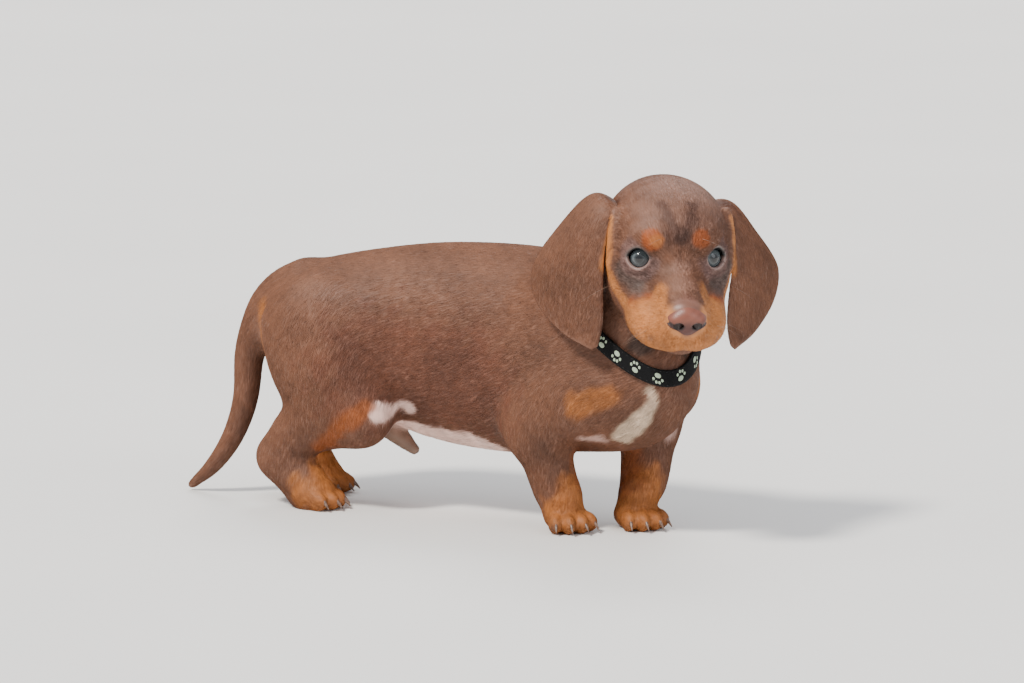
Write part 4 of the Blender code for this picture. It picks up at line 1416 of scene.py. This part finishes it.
# %% Collar
COLLAR_CENTRE = np.array([97.8, -24.6, 141.0])
COLLAR_AXIS = unit((0.513, -0.549, 0.659))
COLLAR_FRONT = unit(np.cross(np.cross(COLLAR_AXIS, (0.47, -0.35, -0.81)), COLLAR_AXIS))
COLLAR_LEFT = np.cross(COLLAR_AXIS, COLLAR_FRONT)
SECTIONS = 88


def neck_reach(turn, along):
    """How far the neck's surface is from the collar's middle, in the direction of turn, at so far along."""
    out = math.cos(turn) * COLLAR_FRONT + math.sin(turn) * COLLAR_LEFT
    start = COLLAR_CENTRE + COLLAR_AXIS * along
    reach = np.linspace(15, 80, 131)
    far = forms_distance(start + reach[:, None] * out, FORMS)
    first = int(np.argmax(far > 0))
    step = reach[1] - reach[0]
    return reach[first - 1] + step * far[first - 1] / (far[first - 1] - far[first])


def collar_section(turn):
    """Where the strap lies on the neck in that direction: its middle, and where its width and face point."""
    out = math.cos(turn) * COLLAR_FRONT + math.sin(turn) * COLLAR_LEFT
    low, middle, high = (neck_reach(turn, along) for along in (-4.0, 0.0, 4.0))
    width = unit(8.0 * COLLAR_AXIS + (high - low) * out)
    face = unit(out - (out @ width) * width)
    return COLLAR_CENTRE + out * max(middle, (low + high) / 2), width, face


sections = [collar_section(math.tau * k / SECTIONS) for k in range(SECTIONS)]
STRAP = [
    (-0.5, 0.35), (-0.47, 0.85), (-0.42, 1.0), (-0.2, 1.0), (0.2, 1.0),
    (0.42, 1.0), (0.47, 0.85), (0.5, 0.35), (0.46, 0.0), (-0.46, 0.0),
]


def strap():
    """The strap, with its length along the neck and its place across kept at each vertex in millimetres."""
    rings, weave, run = [], [], 0.0
    for k, (middle, width, face) in enumerate(sections):
        run += np.linalg.norm(middle - sections[k - 1][0]) if k else 0.0
        for across, deep in STRAP:
            outward = COLLAR_CLEARANCE + COLLAR_THICKNESS * deep
            rings.append(middle + width * across * COLLAR_WIDTH + face * outward)
            weave.append((run, across * COLLAR_WIDTH, deep))
    faces, sides = [], len(STRAP)
    for k in range(SECTIONS):
        for j in range(sides):
            a, b = k * sides + j, k * sides + (j + 1) % sides
            c, d = (k + 1) % SECTIONS * sides + (j + 1) % sides, (k + 1) % SECTIONS * sides + j
            faces.append((a, b, c, d))
    obj = solid_from("strap", rings, faces)
    store_vector(obj.data, "weave", np.array(weave))
    return obj


def on_strap(turn, across):
    """A place on the strap's face, and the directions along it, across it and outwards."""
    at = turn / math.tau * SECTIONS
    k, t = int(at) % SECTIONS, at - int(at)
    here, there = sections[k], sections[(k + 1) % SECTIONS]
    middle, width, face = (a * (1 - t) + b * t for a, b in zip(here, there))
    width, face = unit(width), unit(face)
    place = middle + width * across + face * (COLLAR_CLEARANCE + COLLAR_THICKNESS)
    return place, unit(there[0] - here[0]), width, face


PRINTS = 26
STITCHES = 96
TOE_DABS = [(-2.5, 1.1), (-0.9, 2.6), (0.9, 2.6), (2.5, 1.1)]


def paw_prints():
    """Thin flat dabs on the strap's face, one pad and four toes in each print, all in one mesh."""
    shape = bmesh.new()
    for k in range(PRINTS):
        turn = math.tau * (k + 0.35) / PRINTS
        lean = rng.uniform(-0.5, 0.5) + math.pi * (k % 2)
        for x, y, wide, high in [(0, -1.1, 2.0, 1.5), *[(x, y, 0.8, 0.95) for x, y in TOE_DABS]]:
            across, along = math.cos(lean) * y + math.sin(lean) * x, math.cos(lean) * x - math.sin(lean) * y
            place, run, width, face = on_strap(turn, across * 1.05)
            axes = np.column_stack([run * wide, width * high, face * 0.14, place + run * along * 1.05])
            matrix = Matrix(axes.tolist()).to_4x4()
            bmesh.ops.create_icosphere(shape, subdivisions=2, radius=1.0, matrix=matrix)
    mesh = bpy.data.meshes.new("prints")
    shape.to_mesh(mesh)
    shape.free()
    return add_object("paw_prints", mesh)


def stitches():
    """Two rows of small thread stitches along the strap's edges."""
    shape = bmesh.new()
    for row in (-1, 1):
        for k in range(STITCHES):
            place, run, width, face = on_strap(math.tau * k / STITCHES, row * 0.38 * COLLAR_WIDTH)
            axes = np.column_stack([run * 0.72, width * 0.2, face * 0.16, place])
            matrix = Matrix(axes.tolist()).to_4x4()
            bmesh.ops.create_icosphere(shape, subdivisions=1, radius=1.0, matrix=matrix)
    mesh = bpy.data.meshes.new("stitches")
    shape.to_mesh(mesh)
    shape.free()
    return add_object("stitches", mesh)


collar_strap, prints, seams = strap(), paw_prints(), stitches()
print("collar prints:", PRINTS)

# %% [markdown]
# ## Whiskers
# Whiskers are stiffer than the coat and stand out from it. They are three-sided tapered hairs on the
# muzzle's sides, over the eyes and on the cheeks.

# %% Whiskers
WHISKER_ROOTS = [
    (64, 13, -30), (62, 15, -33), (59, 17, -30), (57, 18, -35),
    (54, 20, -32), (60, 14, -38), (40, 12, 12), (20, 36, -26),
]


def whisker(shape, side, root, index):
    start = np.array(HEAD(root[0], root[1] * side, root[2]))
    aim = HEAD.direction(0.25 + 0.1 * math.sin(7 * index), side, -0.25 + 0.15 * math.cos(5 * index))
    length = 15 + 5 * math.sin(3.0 * index + side)
    across = unit(np.cross(aim, (0, 0, 1)))
    up = np.cross(aim, across)
    rings = []
    for t in np.linspace(0, 1, 8):
        centre = start + aim * length * t - np.array([0, 0, 3.0]) * t**2
        size = 0.11 * (1 - 0.9 * t)
        around = [centre + size * (math.cos(s) * across + math.sin(s) * up) for s in (0, 2.1, 4.2)]
        rings.append([shape.verts.new(place) for place in around])
    for low, high in zip(rings[:-1], rings[1:]):
        for j in range(3):
            shape.faces.new((low[j], low[(j + 1) % 3], high[(j + 1) % 3], high[j]))
    shape.faces.new(rings[0][::-1])
    shape.faces.new(rings[-1])


def make_whiskers():
    shape = bmesh.new()
    for side in (1, -1):
        for index, root in enumerate(WHISKER_ROOTS):
            whisker(shape, side, root, index)
    mesh = bpy.data.meshes.new("whiskers")
    shape.to_mesh(mesh)
    shape.free()
    return add_object("whiskers", mesh)


whiskers = make_whiskers()
print("whiskers:", 2 * len(WHISKER_ROOTS))

# %% [markdown]
# ## Materials
# Every surface is procedural. Sizes of noise are given in millimetres, and turned to a texture's
# scale by one helper, since object coordinates are in metres.

# %% Materials
def add(tree, kind, sockets=None, **settings):
    """Adds a node with its settings. Each socket gets a value, or a link from another node's output."""
    node = tree.nodes.new(kind)
    for name, value in settings.items():
        setattr(node, name, value)
    for name, value in (sockets or {}).items():
        if isinstance(value, bpy.types.NodeSocket):
            tree.links.new(value, node.inputs[name])
        else:
            node.inputs[name].default_value = value
    return node


def per_mm(size):
    """The texture scale at which a noise has lumps of that size in millimetres, in object coordinates."""
    return 1.0 / (size * MM)


def rgba(code):
    return (*linear(code), 1.0)


def new_material(name):
    material = bpy.data.materials.new(name)
    material.use_nodes = True
    tree = material.node_tree
    return material, tree, tree.nodes["Principled BSDF"]


def grain(tree, place, size, detail):
    """Noise in lumps of that size in millimetres, from 0 to 1."""
    noise = add(tree, "ShaderNodeTexNoise", {"Vector": place, "Scale": per_mm(size), "Detail": detail})
    return noise.outputs["Fac"]


def between_limits(tree, value, low, high):
    """A value from 0 to 1, stretched to run from low to high."""
    return add(tree, "ShaderNodeMapRange", {"Value": value, "To Min": low, "To Max": high}).outputs["Result"]


def dents(tree, height, strength, depth):
    """A bump of that depth in millimetres."""
    bump = add(tree, "ShaderNodeBump", {"Height": height, "Strength": strength, "Distance": depth * MM})
    return bump.outputs["Normal"]


def strands(tree, size, stretch):
    """Noise drawn out along the hair's lie, which the skin keeps at every vertex."""
    place = add(tree, "ShaderNodeTexCoord").outputs["Object"]
    lie = add(tree, "ShaderNodeAttribute", attribute_name="lie").outputs["Vector"]
    along = add(tree, "ShaderNodeVectorMath", {0: place, 1: lie}, operation="DOT_PRODUCT").outputs["Value"]
    less = add(tree, "ShaderNodeMath", {0: along, 1: stretch - 1}, operation="MULTIPLY").outputs["Value"]
    pull = add(tree, "ShaderNodeVectorMath", {0: lie, "Scale": less}, operation="SCALE").outputs["Vector"]
    where = add(tree, "ShaderNodeVectorMath", {0: place, 1: pull}, operation="ADD").outputs["Vector"]
    return grain(tree, where, size, 3.0)


def skin_material():
    """Short hair lying flat: fine streaks along the lie, and damp bare skin at the lids and lips."""
    material, tree, shader = new_material("short_coat_skin")
    colour = add(tree, "ShaderNodeAttribute", attribute_name="coat").outputs["Color"]
    bare = add(tree, "ShaderNodeAttribute", attribute_name="bare").outputs["Fac"]
    streak = strands(tree, 0.35, 0.12)
    light = between_limits(tree, streak, 0.84, 1.1)
    tint = add(tree, "ShaderNodeVectorMath", {0: colour, "Scale": light}, operation="SCALE").outputs["Vector"]
    rough = between_limits(tree, bare, 0.62, 0.4)
    bump = dents(tree, streak, 0.2, 0.15)
    tree.links.new(tint, shader.inputs["Base Color"])
    tree.links.new(rough, shader.inputs["Roughness"])
    tree.links.new(bump, shader.inputs["Normal"])
    return material


def tuft_material():
    """Smooth hair with a low sheen. Each tuft keeps its own colour, darker at its root."""
    material, tree, shader = new_material("short_coat_hair")
    colour = add(tree, "ShaderNodeAttribute", attribute_name="coat").outputs["Color"]
    tree.links.new(colour, shader.inputs["Base Color"])
    shader.inputs["Roughness"].default_value = 0.6
    shader.inputs["Specular IOR Level"].default_value = 0.3
    return material


def nose_material():
    """Moist leather with a fine pebbled grain."""
    material, tree, shader = new_material("nose_leather")
    place = add(tree, "ShaderNodeTexCoord").outputs["Object"]
    cells = add(tree, "ShaderNodeTexVoronoi", {"Vector": place, "Scale": per_mm(0.7)}, feature="F1")
    pebbles = {"Height": cells.outputs["Distance"], "Strength": 0.35, "Distance": 0.12 * MM}
    bump = add(tree, "ShaderNodeBump", pebbles, invert=True)
    colour = add(tree, "ShaderNodeAttribute", attribute_name="coat").outputs["Color"]
    tree.links.new(colour, shader.inputs["Base Color"])
    tree.links.new(bump.outputs["Normal"], shader.inputs["Normal"])
    shader.inputs["Roughness"].default_value = 0.42
    return material


def ramp(tree, value, stops, interpolation="LINEAR"):
    """A colour ramp through (position, hex colour) stops."""
    node = add(tree, "ShaderNodeValToRGB", {"Fac": value})
    node.color_ramp.interpolation = interpolation
    points = node.color_ramp.elements
    while len(points) < len(stops):
        points.new(0.5)
    for point, (position, code) in zip(points, stops):
        point.position, point.color = position, rgba(code)
    return node.outputs["Color"]


def eye_material():
    """A wet eye: a soft dark pupil, a blue-grey iris with fine fibres, a dark ring, and the white."""
    material, tree, shader = new_material("eye")
    place = add(tree, "ShaderNodeAttribute", attribute_name="iris").outputs["Vector"]
    apart = add(tree, "ShaderNodeSeparateXYZ", {"Vector": place}).outputs
    flat = add(tree, "ShaderNodeCombineXYZ", {"X": apart["X"], "Y": apart["Y"]}).outputs["Vector"]
    radius = add(tree, "ShaderNodeVectorMath", {0: flat}, operation="LENGTH").outputs["Value"]
    turn = add(tree, "ShaderNodeMath", {0: apart["Y"], 1: apart["X"]}, operation="ARCTAN2").outputs["Value"]
    fibre = add(tree, "ShaderNodeCombineXYZ", {"X": turn, "Y": radius}).outputs["Vector"]
    narrow = add(tree, "ShaderNodeVectorMath", {0: fibre, 1: (9.0, 0.5, 0.0)}, operation="MULTIPLY")
    rays = {"Vector": narrow.outputs["Vector"], "Scale": 1.6, "Detail": 4.0}
    noise = add(tree, "ShaderNodeTexNoise", rays).outputs["Fac"]
    share = add(tree, "ShaderNodeMath", {0: radius, 1: 1 / 8.0}, operation="MULTIPLY").outputs["Value"]
    rings = ramp(tree, share, [
        (0.0, "#050608"), (0.21, "#0a0b0d"), (0.34, "#2c3133"), (0.46, "#535a5c"), (0.60, "#474e51"),
        (0.69, "#2c3235"), (0.76, "#0c0c0d"), (0.84, "#1b1615"), (0.92, "#5d504c"), (1.0, "#85766f"),
    ])
    light = between_limits(tree, noise, 0.75, 1.25)
    tint = add(tree, "ShaderNodeVectorMath", {0: rings, "Scale": light}, operation="SCALE").outputs["Vector"]
    tree.links.new(tint, shader.inputs["Base Color"])
    shader.inputs["Roughness"].default_value = 0.12
    shader.inputs["Coat Weight"].default_value = 0.35
    shader.inputs["Coat Roughness"].default_value = 0.02
    return material


def claw_material():
    """Dark horn, a little paler in streaks."""
    material, tree, shader = new_material("claw_horn")
    place = add(tree, "ShaderNodeTexCoord").outputs["Object"]
    noise = grain(tree, place, 1.5, 3.0)
    tree.links.new(ramp(tree, noise, [(0.3, "#4a352b"), (0.75, "#8a6f5f")]), shader.inputs["Base Color"])
    shader.inputs["Roughness"].default_value = 0.32
    return material


def webbing_material():
    """Black nylon webbing in a plain weave, with threads about half a millimetre wide."""
    material, tree, shader = new_material("webbing")
    place = add(tree, "ShaderNodeAttribute", attribute_name="weave").outputs["Vector"]
    warp = add(tree, "ShaderNodeTexWave", {"Vector": place, "Scale": 0.55}, bands_direction="X")
    weft = add(tree, "ShaderNodeTexWave", {"Vector": place, "Scale": 0.4}, bands_direction="Y")
    crossing = {0: warp.outputs["Fac"], 1: weft.outputs["Fac"]}
    height = add(tree, "ShaderNodeMath", crossing, operation="MULTIPLY").outputs["Value"]
    bump = dents(tree, height, 0.8, 0.2)
    tree.links.new(ramp(tree, height, [(0.0, "#060607"), (1.0, "#17181a")]), shader.inputs["Base Color"])
    tree.links.new(bump, shader.inputs["Normal"])
    shader.inputs["Roughness"].default_value = 0.8
    shader.inputs["Specular IOR Level"].default_value = 0.2
    return material


def plain_material(name, code, roughness, size):
    """A plain surface whose lightness varies a little in lumps of that size in millimetres."""
    material, tree, shader = new_material(name)
    place = add(tree, "ShaderNodeTexCoord").outputs["Object"]
    light = between_limits(tree, grain(tree, place, size, 2.0), 0.94, 1.06)
    base = tuple(linear(code))
    tint = add(tree, "ShaderNodeVectorMath", {0: base, "Scale": light}, operation="SCALE").outputs["Vector"]
    tree.links.new(tint, shader.inputs["Base Color"])
    shader.inputs["Roughness"].default_value = roughness
    return material


# %% Dress every piece
def dress(obj, material, slot_name, *nodes):
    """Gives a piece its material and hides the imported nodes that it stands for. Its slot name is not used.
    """
    obj.data.materials.clear()
    obj.data.materials.append(material)
    obj.data.polygons.foreach_set("use_smooth", [True] * len(obj.data.polygons))
    obj.data.update()
    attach(obj, "root")
    if nodes:
        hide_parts(*nodes)


def place_in_frame(obj):
    obj.data.vertices.foreach_set("co", to_frame(points_of(obj.data)).astype(np.float32).ravel())


FLESH = ["head", "neck", "torso", "tail", "ear_left", "ear_right", *["leg_" + name for name in FEET]]
horn, hair = claw_material(), tuft_material()
for obj in [skin, nose, collar_strap, prints, seams, whiskers, *eyeballs.values(), *claws.values()]:
    place_in_frame(obj)
dress(skin, skin_material(), "coat", *FLESH)
for piece in coat:
    dress(piece, hair, "coat")
dress(whiskers, plain_material("whisker", "#8a7263", 0.35, 2.0), "coat")
dress(nose, nose_material(), "nose_leather", "nose")
wet = eye_material()
dress(eyeballs[1], wet, "eye", "eye_left")
dress(eyeballs[-1], wet, "eye", "eye_right")
for node, obj in claws.items():
    dress(obj, horn, "claw", node)
dress(collar_strap, webbing_material(), "webbing", "collar")
dress(prints, plain_material("print_dab", "#a3b39a", 0.45, 0.8), "webbing")
dress(seams, plain_material("thread", "#1b1c1e", 0.7, 0.5), "webbing")

# %% [markdown]
# ## The floor
# A plain pale floor lets the colours be judged. It belongs to the picture and not to the puppy, so it
# is only a stage.

# %% Floor and finish
bpy.ops.mesh.primitive_plane_add(size=16, location=(0, 0, 0))
floor = bpy.context.object
floor.name = "floor"
floor.data.materials.append(plain_material("pale_floor", "#e9e7e3", 0.85, 400))
